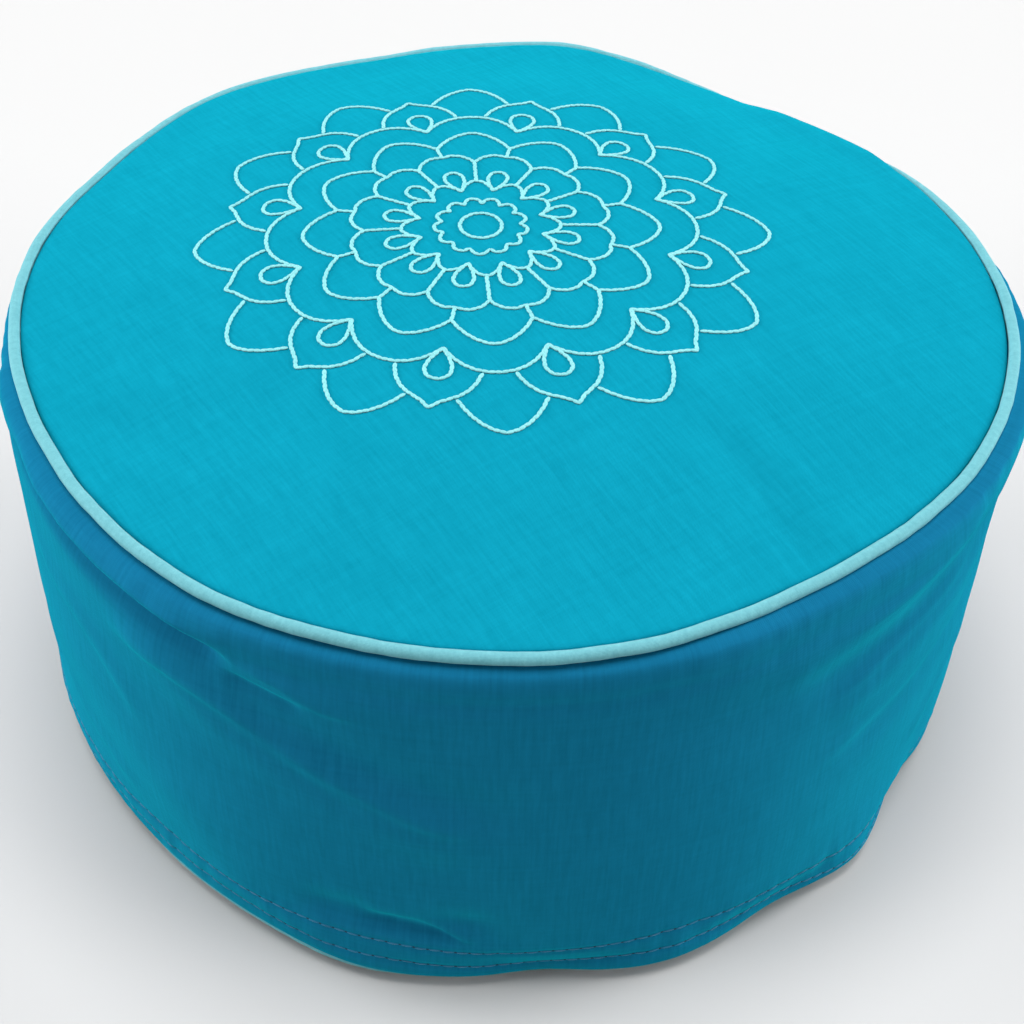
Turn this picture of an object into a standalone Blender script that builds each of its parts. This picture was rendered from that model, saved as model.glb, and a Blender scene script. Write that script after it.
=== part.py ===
"""A round zafu meditation cushion, filled and standing on its underside.

Its maker cuts a top panel, a side band and a bottom panel, and closes the two seams with piping.
The side band is the skin of the filled solid, which the two panels cover above and below.

Every piece is first turned or drawn perfectly round. Then one function, settled(), moves all its
points the way the filling has pushed the cloth, so that the pieces stay together at the seams.
Azimuths are in degrees from +X towards +Y. A drop is a depth below the upper seam.
"""

import math
from collections import namedtuple

import bpy
from mathutils import Vector

MM = 0.001

# Driving dimensions
SEAM_RADIUS = 165.0 * MM         # centre line of the upper piping
SEAM_HEIGHT = 163.0 * MM         # upper piping above the floor
BASE_SEAM_RADIUS = 165.5 * MM    # centre line of the lower piping
BASE_SEAM_HEIGHT = 4.2 * MM      # lower piping above the floor
PIPING_RADIUS = 2.0 * MM
CLOTH = 1.6 * MM                 # thickness of a panel
GAP = 0.4 * MM                   # between neighbouring pieces
CROWN = 16.0 * MM                # rise of the top panel above its edge
CROWN_POWER = 2.3
FLAT_RADIUS = 148.0 * MM         # underside that rests flat on the floor
BASE_EDGE_RISE = 2.8 * MM        # rise of the underside's rim to the lower seam
AROUND = 90                      # steps round the cushion

# The top panel's edge lies beside the piping, a little above its centre line.
PANEL_RADIUS = SEAM_RADIUS - PIPING_RADIUS - GAP
PANEL_EDGE_HEIGHT = SEAM_HEIGHT + 0.3 * MM
BASE_PANEL_RADIUS = BASE_SEAM_RADIUS - PIPING_RADIUS - GAP

# Rings of the crown and of the underside, as shares of their radius
CROWN_RINGS = (0.0, 0.2, 0.4, 0.57, 0.71, 0.83, 0.92, 0.975, 1.0)
FLAT_RINGS = (0.0, 0.35, 0.7, 1.0)
RISING_RINGS = (0.4, 0.75, 1.0)

# The tables' rows are in millimetres, and their angles in degrees.
# The band rolls out under the upper seam and over the lower one. Away is a distance from the
# seam's centre line, down from the upper one or up from the lower one; reach is one outwards.
RollRow = namedtuple("RollRow", "away reach")
UPPER_ROLL = (
    RollRow(2.5, -1.0),
    RollRow(2.6, 1.1),
    RollRow(3.6, 2.9),
    RollRow(5.6, 4.0),
    RollRow(9.0, 4.8),
    RollRow(14.0, 5.3),
)
LOWER_ROLL = (
    RollRow(13.0, 5.3),
    RollRow(7.5, 5.1),
    RollRow(3.8, 4.7),
    RollRow(1.6, 3.9),
    RollRow(1.3, 2.9),
    RollRow(2.1, 1.7),
    RollRow(2.6, 0.4),
    RollRow(2.6, -1.0),
)
BELLY = 1.4 * MM                 # swell of the band between the two rolls
BELLY_ROWS = 15

# Broad swells of the two seams' outlines, and the sag of the upper one
SwellRow = namedtuple("SwellRow", "azimuth half_width outward")
SEAM_SWELLS = (
    SwellRow(2.0, 32.0, 6.2),
    SwellRow(58.0, 14.0, -1.5),
    SwellRow(83.0, 9.0, 4.4),
    SwellRow(111.0, 10.0, -3.2),
    SwellRow(135.0, 9.0, 2.8),
    SwellRow(158.0, 8.0, -1.6),
    SwellRow(168.0, 24.0, 1.5),
    SwellRow(208.0, 15.0, -1.6),
    SwellRow(241.0, 9.0, 1.4),
    SwellRow(305.0, 18.0, -4.2),
)
BASE_SWELLS = (
    SwellRow(352.0, 18.0, 4.0),
    SwellRow(185.0, 16.0, 2.4),
    SwellRow(224.0, 18.0, -1.8),
    SwellRow(60.0, 24.0, 1.6),
    SwellRow(115.0, 20.0, -1.8),
)
# Waves of the lower edge, which fade up the band
LOWER_WAVES = (
    SwellRow(20.0, 6.0, -2.2),
    SwellRow(48.0, 7.0, 2.4),
    SwellRow(84.0, 6.0, -2.4),
    SwellRow(128.0, 7.0, 2.2),
    SwellRow(158.0, 6.0, -2.0),
    SwellRow(255.0, 9.0, 2.8),
    SwellRow(276.0, 6.0, -3.2),
    SwellRow(291.0, 7.0, 2.2),
    SwellRow(305.0, 5.0, -1.8),
    SwellRow(318.0, 6.0, 4.0),
    SwellRow(331.0, 5.0, -3.4),
)
WAVE_HEIGHT = 34.0 * MM

SagRow = namedtuple("SagRow", "azimuth half_width sag")
SEAM_SAGS = (
    SagRow(52.0, 20.0, 6.5),
    SagRow(150.0, 25.0, 0.8),
    SagRow(300.0, 22.0, 0.8),
)
SAG_POWER = 8                    # the sag pulls the top panel down close to its edge only

# Ridges (outward) and hollows (inward) of the side band, each along a line on the unrolled band
FoldRow = namedtuple("FoldRow", "azimuth_a drop_a azimuth_b drop_b half_width outward")
BAND_FOLDS = (
    # the roll under the upper seam at the left, and the hollow below it
    FoldRow(196.0, 9.0, 246.0, 20.0, 7.0, 2.2),
    FoldRow(212.0, 27.0, 247.0, 33.0, 9.0, -3.0),
    # a long slack crease from the left down to the front, and the hollow over it
    FoldRow(233.0, 36.0, 264.0, 78.0, 11.0, 1.5),
    FoldRow(246.0, 36.0, 270.0, 64.0, 11.0, -1.4),
    # left flank: a swell at the top, a hollow, and a bulge low down
    FoldRow(196.0, 26.0, 204.0, 34.0, 14.0, 1.2),
    FoldRow(196.0, 82.0, 202.0, 112.0, 18.0, -4.0),
    FoldRow(214.0, 78.0, 231.0, 104.0, 20.0, 1.3),
    # right flank: three slack creases that fan out from the seam
    FoldRow(326.0, 15.0, 303.0, 27.0, 7.0, 1.8),
    FoldRow(332.0, 27.0, 308.0, 40.0, 8.0, -2.0),
    FoldRow(336.0, 42.0, 312.0, 58.0, 7.0, 1.6),
    FoldRow(338.0, 62.0, 316.0, 80.0, 10.0, -1.6),
    FoldRow(344.0, 96.0, 330.0, 118.0, 12.0, -1.2),
    # the slack pocket low on the front
    FoldRow(252.0, 127.0, 268.0, 124.0, 7.0, -2.2),
    # the far side: slack under the sagging seam, and two creases on each side of it
    FoldRow(38.0, 22.0, 76.0, 30.0, 10.0, -2.4),
    FoldRow(20.0, 34.0, 50.0, 92.0, 13.0, 1.8),
    FoldRow(78.0, 52.0, 112.0, 104.0, 14.0, 1.8),
    FoldRow(96.0, 26.0, 132.0, 44.0, 9.0, -2.2),
    FoldRow(140.0, 34.0, 172.0, 78.0, 12.0, 1.8),
)

# Low swells and hollows of the top panel, at their place in plan
HumpRow = namedtuple("HumpRow", "x y half_width lift")
TOP_HUMPS = (
    HumpRow(48.0, -122.0, 26.0, -1.6),
    HumpRow(112.0, -92.0, 24.0, -1.3),
    HumpRow(-86.0, -66.0, 34.0, -1.3),
    HumpRow(-22.0, -98.0, 34.0, 1.0),
    HumpRow(88.0, 8.0, 46.0, 1.1),
    HumpRow(-60.0, 92.0, 40.0, 0.9),
    HumpRow(86.0, 92.0, 26.0, -1.4),
)

# The filling shapes the band's skin only outside the piping, and the top panel only inside it.
SKIN_STARTS = 1.5 * MM
SKIN_DEPTH = 3.0 * MM
FOLD_FOOT = 12.0 * MM            # the band's folds die out this far above the lower seam
TOP_DEPTH = 3.0 * MM             # the top panel and the filling under it, measured from the seam

# Colours are linear red, green, blue.
TOP_CLOTH_COLOUR = (0.004, 0.40, 0.62)
BAND_CLOTH_COLOUR = (0.006, 0.22, 0.38)
PIPING_COLOUR = (0.20, 0.56, 0.62)
CLOTH_ROUGHNESS = 0.85


def clamped(value):
    """Keep a share between 0 and 1."""
    return max(0.0, min(1.0, value))


def eased(share):
    """Turn a straight rise from 0 to 1 into one that starts and ends level."""
    share = clamped(share)
    return share * share * (3.0 - 2.0 * share)


def turn_between(azimuth, centre):
    """The angle from centre to azimuth, the short way round, in degrees."""
    return (azimuth - centre + 180.0) % 360.0 - 180.0


def bell(distance, half_width):
    """1 at no distance, falling smoothly to almost nothing at twice the half width."""
    return math.exp(-((distance / half_width) ** 2))


def swell(azimuth, rows):
    """How far a seam's outline stands out at an azimuth."""
    total = sum(row.outward * bell(turn_between(azimuth, row.azimuth), row.half_width) for row in rows)
    return total * MM


def seam_sag(azimuth):
    """How far the upper seam hangs at an azimuth."""
    total = sum(row.sag * bell(turn_between(azimuth, row.azimuth), row.half_width) for row in SEAM_SAGS)
    return total * MM


def fold_relief(azimuth, drop):
    """How far the band's ridges and hollows move its skin outwards at a place on the unrolled band."""
    total = 0.0
    for row in BAND_FOLDS:
        start = Vector((0.0, row.drop_a))
        run = math.radians(turn_between(row.azimuth_b, row.azimuth_a)) * SEAM_RADIUS / MM
        end = Vector((run, row.drop_b))
        along = math.radians(turn_between(azimuth, row.azimuth_a)) * SEAM_RADIUS / MM
        place = Vector((along, drop / MM))
        share = clamped((place - start).dot(end - start) / (end - start).length_squared)
        nearest = start.lerp(end, share)
        total += row.outward * bell((place - nearest).length, row.half_width)
    return total * MM


def hump_relief(x, y):
    """How far the top panel's swells lift it at a place in plan."""
    total = 0.0
    for row in TOP_HUMPS:
        distance = math.hypot(x / MM - row.x, y / MM - row.y)
        total += row.lift * bell(distance, row.half_width)
    edge = eased((PANEL_RADIUS - math.hypot(x, y)) / (20.0 * MM))
    return total * MM * edge


def settled(point):
    """Where the filling moves a point of the round cushion."""
    radius = math.hypot(point.x, point.y)
    azimuth = math.degrees(math.atan2(point.y, point.x))
    height_share = eased(point.z / SEAM_HEIGHT)
    rim_share = clamped(radius / SEAM_RADIUS)
    outward = swell(azimuth, BASE_SWELLS) * (1.0 - height_share)
    outward += swell(azimuth, SEAM_SWELLS) * height_share
    outward += swell(azimuth, LOWER_WAVES) * bell(point.z, WAVE_HEIGHT)
    outward *= rim_share ** 2
    skin = eased((radius - SEAM_RADIUS - SKIN_STARTS) / SKIN_DEPTH)
    skin *= eased((point.z - BASE_SEAM_HEIGHT) / FOLD_FOOT)
    if skin > 0.0:
        outward += skin * fold_relief(azimuth, SEAM_HEIGHT - point.z)
    lift = -seam_sag(azimuth) * rim_share ** SAG_POWER * height_share
    if point.z > SEAM_HEIGHT - TOP_DEPTH:
        lift += hump_relief(point.x, point.y)
    scale = 1.0 + outward / max(radius, MM)
    return Vector((point.x * scale, point.y * scale, point.z + lift))


def crown_height(radius):
    """Height of the top panel's upper face over the floor, before it settles."""
    return PANEL_EDGE_HEIGHT + CROWN * (1.0 - (radius / PANEL_RADIUS) ** CROWN_POWER)


def crown_profile(sink):
    """The top panel's face from the middle to its edge, sunk by a depth."""
    return [(share * PANEL_RADIUS, crown_height(share * PANEL_RADIUS) - sink) for share in CROWN_RINGS]


def underside_profile(lift):
    """The underside's face from its rim to the middle, raised by a height."""
    width = BASE_PANEL_RADIUS - FLAT_RADIUS
    flat = [(share * FLAT_RADIUS, lift) for share in FLAT_RINGS]
    rim = [(FLAT_RADIUS + share * width, lift + BASE_EDGE_RISE * share ** 2) for share in RISING_RINGS]
    return list(reversed(flat + rim))


def band_profile():
    """The outside of the filled solid, from the middle of its crown to the middle of its base."""
    upper = [(SEAM_RADIUS + row.reach * MM, SEAM_HEIGHT - row.away * MM) for row in UPPER_ROLL]
    lower = [(BASE_SEAM_RADIUS + row.reach * MM, BASE_SEAM_HEIGHT + row.away * MM) for row in LOWER_ROLL]
    belly = []
    for index in range(1, BELLY_ROWS + 1):
        share = index / (BELLY_ROWS + 1)
        radius = upper[-1][0] + share * (lower[0][0] - upper[-1][0])
        height = upper[-1][1] + share * (lower[0][1] - upper[-1][1])
        belly.append((radius + BELLY * math.sin(math.pi * share), height))
    return crown_profile(CLOTH + GAP) + upper + belly + lower + underside_profile(CLOTH + GAP)


def new_material(name, colour):
    """A plain cloth finish of one colour."""
    material = bpy.data.materials.new(name)
    material.use_nodes = True
    shader = material.node_tree.nodes["Principled BSDF"]
    shader.inputs["Base Color"].default_value = (*colour, 1.0)
    shader.inputs["Roughness"].default_value = CLOTH_ROUGHNESS
    shader.inputs["Metallic"].default_value = 0.0
    return material


def turned_piece(name, profile, material, collection):
    """Turn a profile of (radius, height) points about +Z, and let the piece settle."""
    mesh = bpy.data.meshes.new(name)
    points = [(radius, 0.0, height) for radius, height in profile]
    edges = [(index, index + 1) for index in range(len(points) - 1)]
    mesh.from_pydata(points, edges, [])
    blank = bpy.data.objects.new(name + "_blank", mesh)
    collection.objects.link(blank)
    screw = blank.modifiers.new("turn", "SCREW")
    screw.steps = AROUND
    screw.render_steps = AROUND
    screw.use_merge_vertices = True
    screw.merge_threshold = 0.00005
    depsgraph = bpy.context.evaluated_depsgraph_get()
    turned = bpy.data.meshes.new_from_object(blank.evaluated_get(depsgraph))
    bpy.data.objects.remove(blank)
    turned.name = name
    for vertex in turned.vertices:
        vertex.co = settled(vertex.co)
    turned.materials.clear()
    turned.materials.append(material)
    turned.shade_smooth()
    piece = bpy.data.objects.new(name, turned)
    collection.objects.link(piece)
    return piece


def thickened(panel):
    """Give a panel its cloth thickness, towards the filling."""
    solidify = panel.modifiers.new("cloth", "SOLIDIFY")
    solidify.thickness = CLOTH
    solidify.offset = -1.0
    solidify.use_even_offset = True
    return panel


def piping_ring(name, radius, height, material, collection):
    """A round cord, sewn into a seam."""
    curve = bpy.data.curves.new(name, "CURVE")
    curve.dimensions = "3D"
    curve.bevel_depth = PIPING_RADIUS
    curve.bevel_resolution = 2
    spline = curve.splines.new("POLY")
    spline.points.add(AROUND - 1)
    for index, point in enumerate(spline.points):
        angle = math.tau * index / AROUND
        place = settled(Vector((radius * math.cos(angle), radius * math.sin(angle), height)))
        point.co = (*place, 1.0)
    spline.use_cyclic_u = True
    curve.materials.append(material)
    ring = bpy.data.objects.new(name, curve)
    collection.objects.link(ring)
    return ring


def main():
    """Build the cushion's five pieces."""
    for leftover in list(bpy.data.objects):
        bpy.data.objects.remove(leftover)
    collection = bpy.data.collections.new("zafu_cushion")
    bpy.context.scene.collection.children.link(collection)
    top_cloth = new_material("top_cloth", TOP_CLOTH_COLOUR)
    band_cloth = new_material("band_cloth", BAND_CLOTH_COLOUR)
    piping_cloth = new_material("piping_cloth", PIPING_COLOUR)
    turned_piece("filled_side_band", band_profile(), band_cloth, collection)
    thickened(turned_piece("top_panel", crown_profile(0.0), top_cloth, collection))
    thickened(turned_piece("bottom_panel", underside_profile(0.0), band_cloth, collection))
    piping_ring("top_piping", SEAM_RADIUS, SEAM_HEIGHT, piping_cloth, collection)
    piping_ring("bottom_piping", BASE_SEAM_RADIUS, BASE_SEAM_HEIGHT, piping_cloth, collection)


main()
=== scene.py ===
"""Looks of a round zafu meditation cushion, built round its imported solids.

The cover is sewn from a top panel, a side band and a bottom panel, with piping in its two seams,
an embroidered lotus rosette on the top and two rows of stitches near the lower edge.
Sizes are in metres. The rows of the tables are in millimetres and degrees. Azimuths run from +X
towards +Y, and a drop is a depth below the upper seam.
"""

import logging
import math
from dataclasses import dataclass, field
from enum import Enum
from itertools import pairwise
from typing import Callable, NamedTuple, Sequence

import bmesh
import bpy
import numpy as np
from mathutils import Matrix, Vector
from mathutils.bvhtree import BVHTree


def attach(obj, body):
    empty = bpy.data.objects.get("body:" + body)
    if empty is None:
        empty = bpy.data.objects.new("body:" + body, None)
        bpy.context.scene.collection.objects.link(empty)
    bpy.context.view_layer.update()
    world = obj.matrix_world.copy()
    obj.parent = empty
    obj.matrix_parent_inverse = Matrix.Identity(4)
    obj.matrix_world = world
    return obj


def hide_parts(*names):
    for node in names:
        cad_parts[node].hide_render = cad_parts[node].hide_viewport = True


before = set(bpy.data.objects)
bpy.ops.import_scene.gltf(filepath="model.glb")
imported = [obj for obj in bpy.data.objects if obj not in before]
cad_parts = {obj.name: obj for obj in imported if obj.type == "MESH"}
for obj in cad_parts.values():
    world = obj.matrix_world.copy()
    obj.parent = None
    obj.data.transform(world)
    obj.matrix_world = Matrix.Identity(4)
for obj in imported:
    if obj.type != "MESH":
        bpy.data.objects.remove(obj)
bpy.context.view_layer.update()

LOG = logging.getLogger("zafu")
MM = 0.001
Colour = tuple[float, float, float]
Socket = bpy.types.NodeSocket
Node = bpy.types.Node
Piece = bpy.types.Object

# Driving dimensions, as the solids have them
SEAM_RADIUS = 165.0 * MM
SEAM_HEIGHT = 163.0 * MM
BASE_SEAM_RADIUS = 165.5 * MM
BASE_SEAM_HEIGHT = 4.2 * MM
PIPING_RADIUS = 2.0 * MM
CROWN = 16.0 * MM
CROWN_POWER = 2.3
FLAT_RADIUS = 148.0 * MM
BASE_EDGE_RISE = 2.8 * MM
PANEL_RADIUS = 162.6 * MM
PANEL_EDGE_HEIGHT = 163.3 * MM
BASE_PANEL_RADIUS = 163.1 * MM
UNDER_PANEL = 2.0 * MM  # the filling's face lies this far under a panel's outer face
END_REACH = 1.5 * MM  # a turned piece's end ring is looked for within this height
NEEDLE_START = 0.3  # a needle comes from this far out, or from this high


class ProfileRow(NamedTuple):
    """A point of a turned profile, in metres."""

    radius: float
    height: float


class RollRow(NamedTuple):
    """A point of the band near a seam: its distance from the seam's line, and how far out it is."""

    away: float
    reach: float


class SwellRow(NamedTuple):
    """A swell of a seam's outline: its place, half its width, and how far out it goes."""

    azimuth: float
    half_width: float
    outward: float


class FoldRow(NamedTuple):
    """A ridge or hollow along a straight line on the unrolled band."""

    azimuth_a: float
    drop_a: float
    azimuth_b: float
    drop_b: float
    half_width: float
    outward: float


class HumpRow(NamedTuple):
    """A low swell or hollow of the top panel, at its place in plan."""

    x: float
    y: float
    half_width: float
    lift: float


class Crease(NamedTuple):
    """A finer crease of the band: its course of (azimuth, drop), its widths above and below, its height."""

    course: tuple[tuple[float, float], ...]
    above: float
    below: float
    outward: float


class RoundRow(NamedTuple):
    """An amount at an azimuth. Between two rows it changes smoothly."""

    azimuth: float
    amount: float


def rows_of(kind: type, *rows: tuple) -> tuple:
    """Read a table's rows as rows of one kind."""
    return tuple(kind(*row) for row in rows)


# How the band's cloth rolls into its seams, and how far its middle bellies out
UPPER_ROLL = rows_of(
    RollRow,
    (2.5, -1), (2.6, 1.1), (3.6, 2.9), (5.6, 4), (9, 4.8), (14, 5.3),
)
LOWER_ROLL = rows_of(
    RollRow,
    (13, 5.3), (7.5, 5.1), (3.8, 4.7), (1.6, 3.9), (1.3, 2.9), (2.1, 1.7), (2.6, 0.4), (2.6, -1),
)
BELLY = 1.4 * MM

# How far the filling pushes each seam out of round, and the waves of the lower edge
SEAM_SWELLS = rows_of(
    SwellRow,
    (2, 32, 6.2), (58, 14, -1.5), (83, 9, 4.4), (111, 10, -3.2), (135, 9, 2.8), (158, 8, -1.6),
    (168, 24, 1.5), (208, 15, -1.6), (241, 9, 1.4), (305, 18, -4.2),
)
BASE_SWELLS = rows_of(
    SwellRow,
    (352, 18, 4), (185, 16, 2.4), (224, 18, -1.8), (60, 24, 1.6), (115, 20, -1.8),
)
LOWER_WAVES = rows_of(
    SwellRow,
    (20, 6, -2.2), (48, 7, 2.4), (84, 6, -2.4), (128, 7, 2.2), (158, 6, -2), (255, 9, 2.8),
    (276, 6, -3.2), (291, 7, 2.2), (305, 5, -1.8), (318, 6, 4), (331, 5, -3.4),
)
WAVE_HEIGHT = 34.0 * MM
# How far the upper seam sags
SEAM_SAGS = rows_of(
    SwellRow,
    (52, 20, 6.5), (150, 25, 0.8), (300, 22, 0.8), (260, 20, 0.8),
)
SAG_POWER = 8
# The band's main folds and the top panel's swells, as the solids have them
BAND_FOLDS = rows_of(
    FoldRow,
    (196, 7.5, 241, 11, 5.5, 1.8), (207, 15.5, 240, 17.5, 6, -3.8), (233, 36, 264, 78, 11, 1.5),
    (246, 36, 270, 64, 11, -1.4), (196, 26, 204, 34, 14, 1.2), (196, 82, 202, 112, 18, -4),
    (214, 78, 231, 104, 20, 1.3), (326, 15, 303, 27, 8, 1.2), (332, 27, 308, 40, 9, -1.3),
    (336, 42, 312, 58, 8, 1.1), (338, 62, 316, 80, 10, -1.3), (344, 96, 330, 118, 12, -1.2),
    (252, 127, 268, 124, 7, -2.2), (38, 22, 76, 30, 10, -2.4), (20, 34, 50, 92, 13, 1.8),
    (78, 52, 112, 104, 14, 1.8), (96, 26, 132, 44, 9, -2.2), (140, 34, 172, 78, 12, 1.8),
)
TOP_HUMPS = rows_of(
    HumpRow,
    (48, -122, 26, -1.6), (112, -92, 24, -1.3), (-86, -66, 34, -1.3), (-22, -98, 34, 1),
    (88, 8, 46, 1.1), (-60, 92, 40, 0.9), (86, 92, 26, -1.4),
)
SKIN_STARTS = 1.5 * MM  # the folds begin this far outside the seam's circle
SKIN_DEPTH = 3.0 * MM  # and are full this much further out
FOLD_FOOT = 12.0 * MM  # they die away this far over the lower seam
TOP_DEPTH = 3.0 * MM  # the top's swells reach this far below the seam

# Finer creases of the band's cloth, over the folds that the solids have
BAND_CREASES = rows_of(
    Crease,
    # the long thin ridge beside the piping at the left, its small step, and the hollow under both
    (
        ((204, 7), (213.5, 7.6), (218, 7.6), (223, 8.4), (231, 8.8), (238, 10.4), (242.4, 15), (246, 22)),
        2.4, 1.6, 1.7,
    ),
    (((244, 17.4), (247, 19), (249, 19.8), (251, 23), (253.4, 25.5), (258, 26.5)), 4, 1.8, 0.6),
    (
        ((214, 12), (220, 12.6), (226, 13), (231, 13.6), (235, 14.6), (239, 17.4), (243, 25)),
        2.4, 6, -1.9,
    ),
    (((242, 24), (245, 25.5), (248, 26.5), (252, 28.5)), 2, 4, -1.2),
    # the long slack ridge from the left down to the front
    (
        ((224, 38), (230, 36), (235, 35.4), (239, 37), (242.8, 40), (245.6, 43.5), (249.2, 48)),
        7, 2.6, 1.5,
    ),
    (
        ((245.4, 42.6), (249.2, 48), (252.8, 53.5), (256.2, 58), (259.4, 62.6), (263, 68), (270, 76)),
        9, 3.4, 1.6,
    ),
    (((238, 44), (246, 52), (253, 63), (260, 76)), 3, 9, -0.7),
    # faint creases that fan out over the right flank
    (
        ((335, 8), (331.8, 9), (327, 11), (322.7, 13.6), (318.6, 16.5), (312.3, 19.6), (306, 22.5)),
        3.6, 2.4, 0.55,
    ),
    (
        ((334, 30), (330.6, 34.6), (327, 37.6), (321.6, 40.3), (317, 43.2), (314, 46.5), (307, 53)),
        4, 2.6, 0.6,
    ),
    (((337, 54), (328, 62), (320, 70), (312, 76), (306, 84)), 8, 4, 0.7),
    (((340, 78), (334, 92), (329, 108), (326, 124)), 6, 6, 0.9),
    # soft swells at the left edge
    (((204, 40), (210.5, 50), (217.5, 51.5), (222.6, 57), (226.3, 66), (230, 82)), 7, 3.6, 0.8),
    (((206, 92), (213, 112), (220, 116), (227, 128)), 7, 5, 0.8),
    # the slack pocket low on the front, under a soft lip
    (
        ((255, 124.5), (259.3, 122.9), (262.6, 123.9), (265.3, 127.6), (267.6, 132.4), (269.5, 136)),
        7, 1.4, 1.6,
    ),
    (((255, 130), (259, 129.2), (263.5, 130.6), (267.5, 134.5)), 2.2, 4.5, -1.4),
    # far side
    (((24, 16), (40, 19), (58, 24), (74, 25), (88, 20)), 4, 2.5, 0.9),
    (((70, 40), (84, 52), (98, 70), (108, 92)), 10, 5, 0.8),
    (((172, 12), (156, 16), (144, 24), (130, 33)), 5, 3, 0.8),
    (((352, 20), (4, 30), (16, 48), (24, 66)), 8, 4, 0.8),
    (((188, 40), (178, 58), (170, 80)), 9, 5, 0.7),
)

# How far the band rolls out into a shelf beside the piping, least at the left and most at the right
SHELF = rows_of(
    RoundRow,
    (6, 2.2), (24, 0.2), (185, 0.2), (198, 1), (236, 1.4), (262, 1.2), (276, 0.5), (284, 1),
    (296, 3.4), (350, 3.8),
)
# How far that shelf is lifted against the piping
SHELF_LIFT = rows_of(
    RoundRow,
    (0, 0.9), (20, 0.2), (192, 0.4), (240, 0.5), (262, 0.5), (276, 0.3), (284, 0.6), (296, 1.5),
    (344, 1.6),
)
# How far the top panel swells up and out beside the piping, which it hides at the far side
RIM_SWELL = rows_of(
    RoundRow,
    (0, 0.6), (18, 1.3), (29, 2.2), (36, 3.6), (50, 3.8), (57, 1.9), (66, 1.4), (90, 1.7),
    (138, 1.9), (156, 1.3), (178, 0.8), (200, 0.5), (330, 0.5),
)
# How far the band is drawn in over the lower piping, and how far that piping stands out under it
HEM_TUCK = rows_of(
    RoundRow,
    (180, 0), (200, 1.2), (248, 1.1), (264, 0.1), (300, 0),
)
LOWER_PIPING_OUT = rows_of(
    RoundRow,
    (180, 0), (200, 0.5), (250, 0.5), (266, 0.1), (300, -0.3), (340, 0),
)
# How much lower the upper piping lies where the top panel hides it
HIDDEN_PIPING = rows_of(
    RoundRow,
    (26, 0), (40, 1.4), (56, 1.4), (70, 0.2), (150, 0),
)
# Height of the upper row of stitches over the floor. The lower row runs a fixed way under it.
UPPER_STITCHES = rows_of(
    RoundRow,
    (20, 23.5), (150, 24.5), (235, 25.5), (256, 24.2), (272, 22), (290, 24), (302, 22.5),
    (317, 18.5), (332, 22.5),
)
STITCH_ROWS_APART = 9.3 * MM

# Folds of the top panel: the ends' places in plan, half of the width, and the lift
TOP_FOLDS = (
    ((64, -60), (106, -120), 6.5, 0.55), ((66, -82), (93, -126), 7, -1.15),
    ((58, -90), (86, -134), 5, 0.3), ((22, -106), (37, -146), 9, -0.55),
    ((95, -34), (124, -86), 8, 0.35), ((82, -42), (114, -96), 5, -0.3),
    ((-126, -66), (-80, -50), 9, 0.55), ((-110, -86), (-70, -68), 9, -0.45),
    ((-136, -24), (-114, 16), 13, -0.4), ((-66, 118), (-92, 88), 11, -0.5),
    ((58, 122), (74, 92), 10, 0.5),
)


def round_amount(azimuth: np.ndarray, rows: Sequence[RoundRow]) -> np.ndarray:
    """Read a table of amounts that goes all the way round.

    Args:
        azimuth: Azimuths in degrees.
        rows: The table, by rising azimuth.

    Returns:
        The amount at each azimuth.
    """
    known = np.array(rows)
    known = np.vstack((known[-1] - (360.0, 0.0), known, known[0] + (360.0, 0.0)))
    place = azimuth % 360.0
    step = np.clip(np.searchsorted(known[:, 0], place, side="right") - 1, 0, len(known) - 2)
    share = eased((place - known[step, 0]) / (known[step + 1, 0] - known[step, 0]))
    return known[step, 1] + share * (known[step + 1, 1] - known[step, 1])


def eased(share: np.ndarray) -> np.ndarray:
    """Turn a straight rise from 0 to 1 into one that starts and ends level.

    Args:
        share: Values, of which those outside 0 to 1 are clipped.

    Returns:
        The eased values.
    """
    share = np.clip(share, 0.0, 1.0)
    return share * share * (3.0 - 2.0 * share)


def rise(distance: np.ndarray, start: float, length: float) -> np.ndarray:
    """An eased rise from 0 to 1, from a start on and over a length, both in millimetres."""
    return eased((distance - start * MM) / (length * MM))


def bell(distance: np.ndarray, half_width: np.ndarray | float) -> np.ndarray:
    """1 at no distance, falling smoothly to almost nothing at twice the half width.

    Args:
        distance: Distances, in the half width's unit.
        half_width: Where the value has fallen to about a third.

    Returns:
        The value at each distance.
    """
    return np.exp(-np.square(distance / half_width))


def turn_between(azimuth: np.ndarray, centre: float) -> np.ndarray:
    """The angle from centre to each azimuth, the short way round, in degrees."""
    return (azimuth - centre + 180.0) % 360.0 - 180.0


def azimuths_of(points: np.ndarray) -> np.ndarray:
    """The azimuth of each point, in degrees."""
    return np.degrees(np.arctan2(points[:, 1], points[:, 0]))


def widened(points: np.ndarray, outward: np.ndarray) -> np.ndarray:
    """Move points away from the axis.

    Args:
        points: Rows of x, y and z.
        outward: How far each one moves.

    Returns:
        The moved points.
    """
    scale = 1.0 + outward / np.maximum(np.hypot(points[:, 0], points[:, 1]), MM)
    return points * np.stack((scale, scale, np.ones(len(scale))), axis=1)


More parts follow.
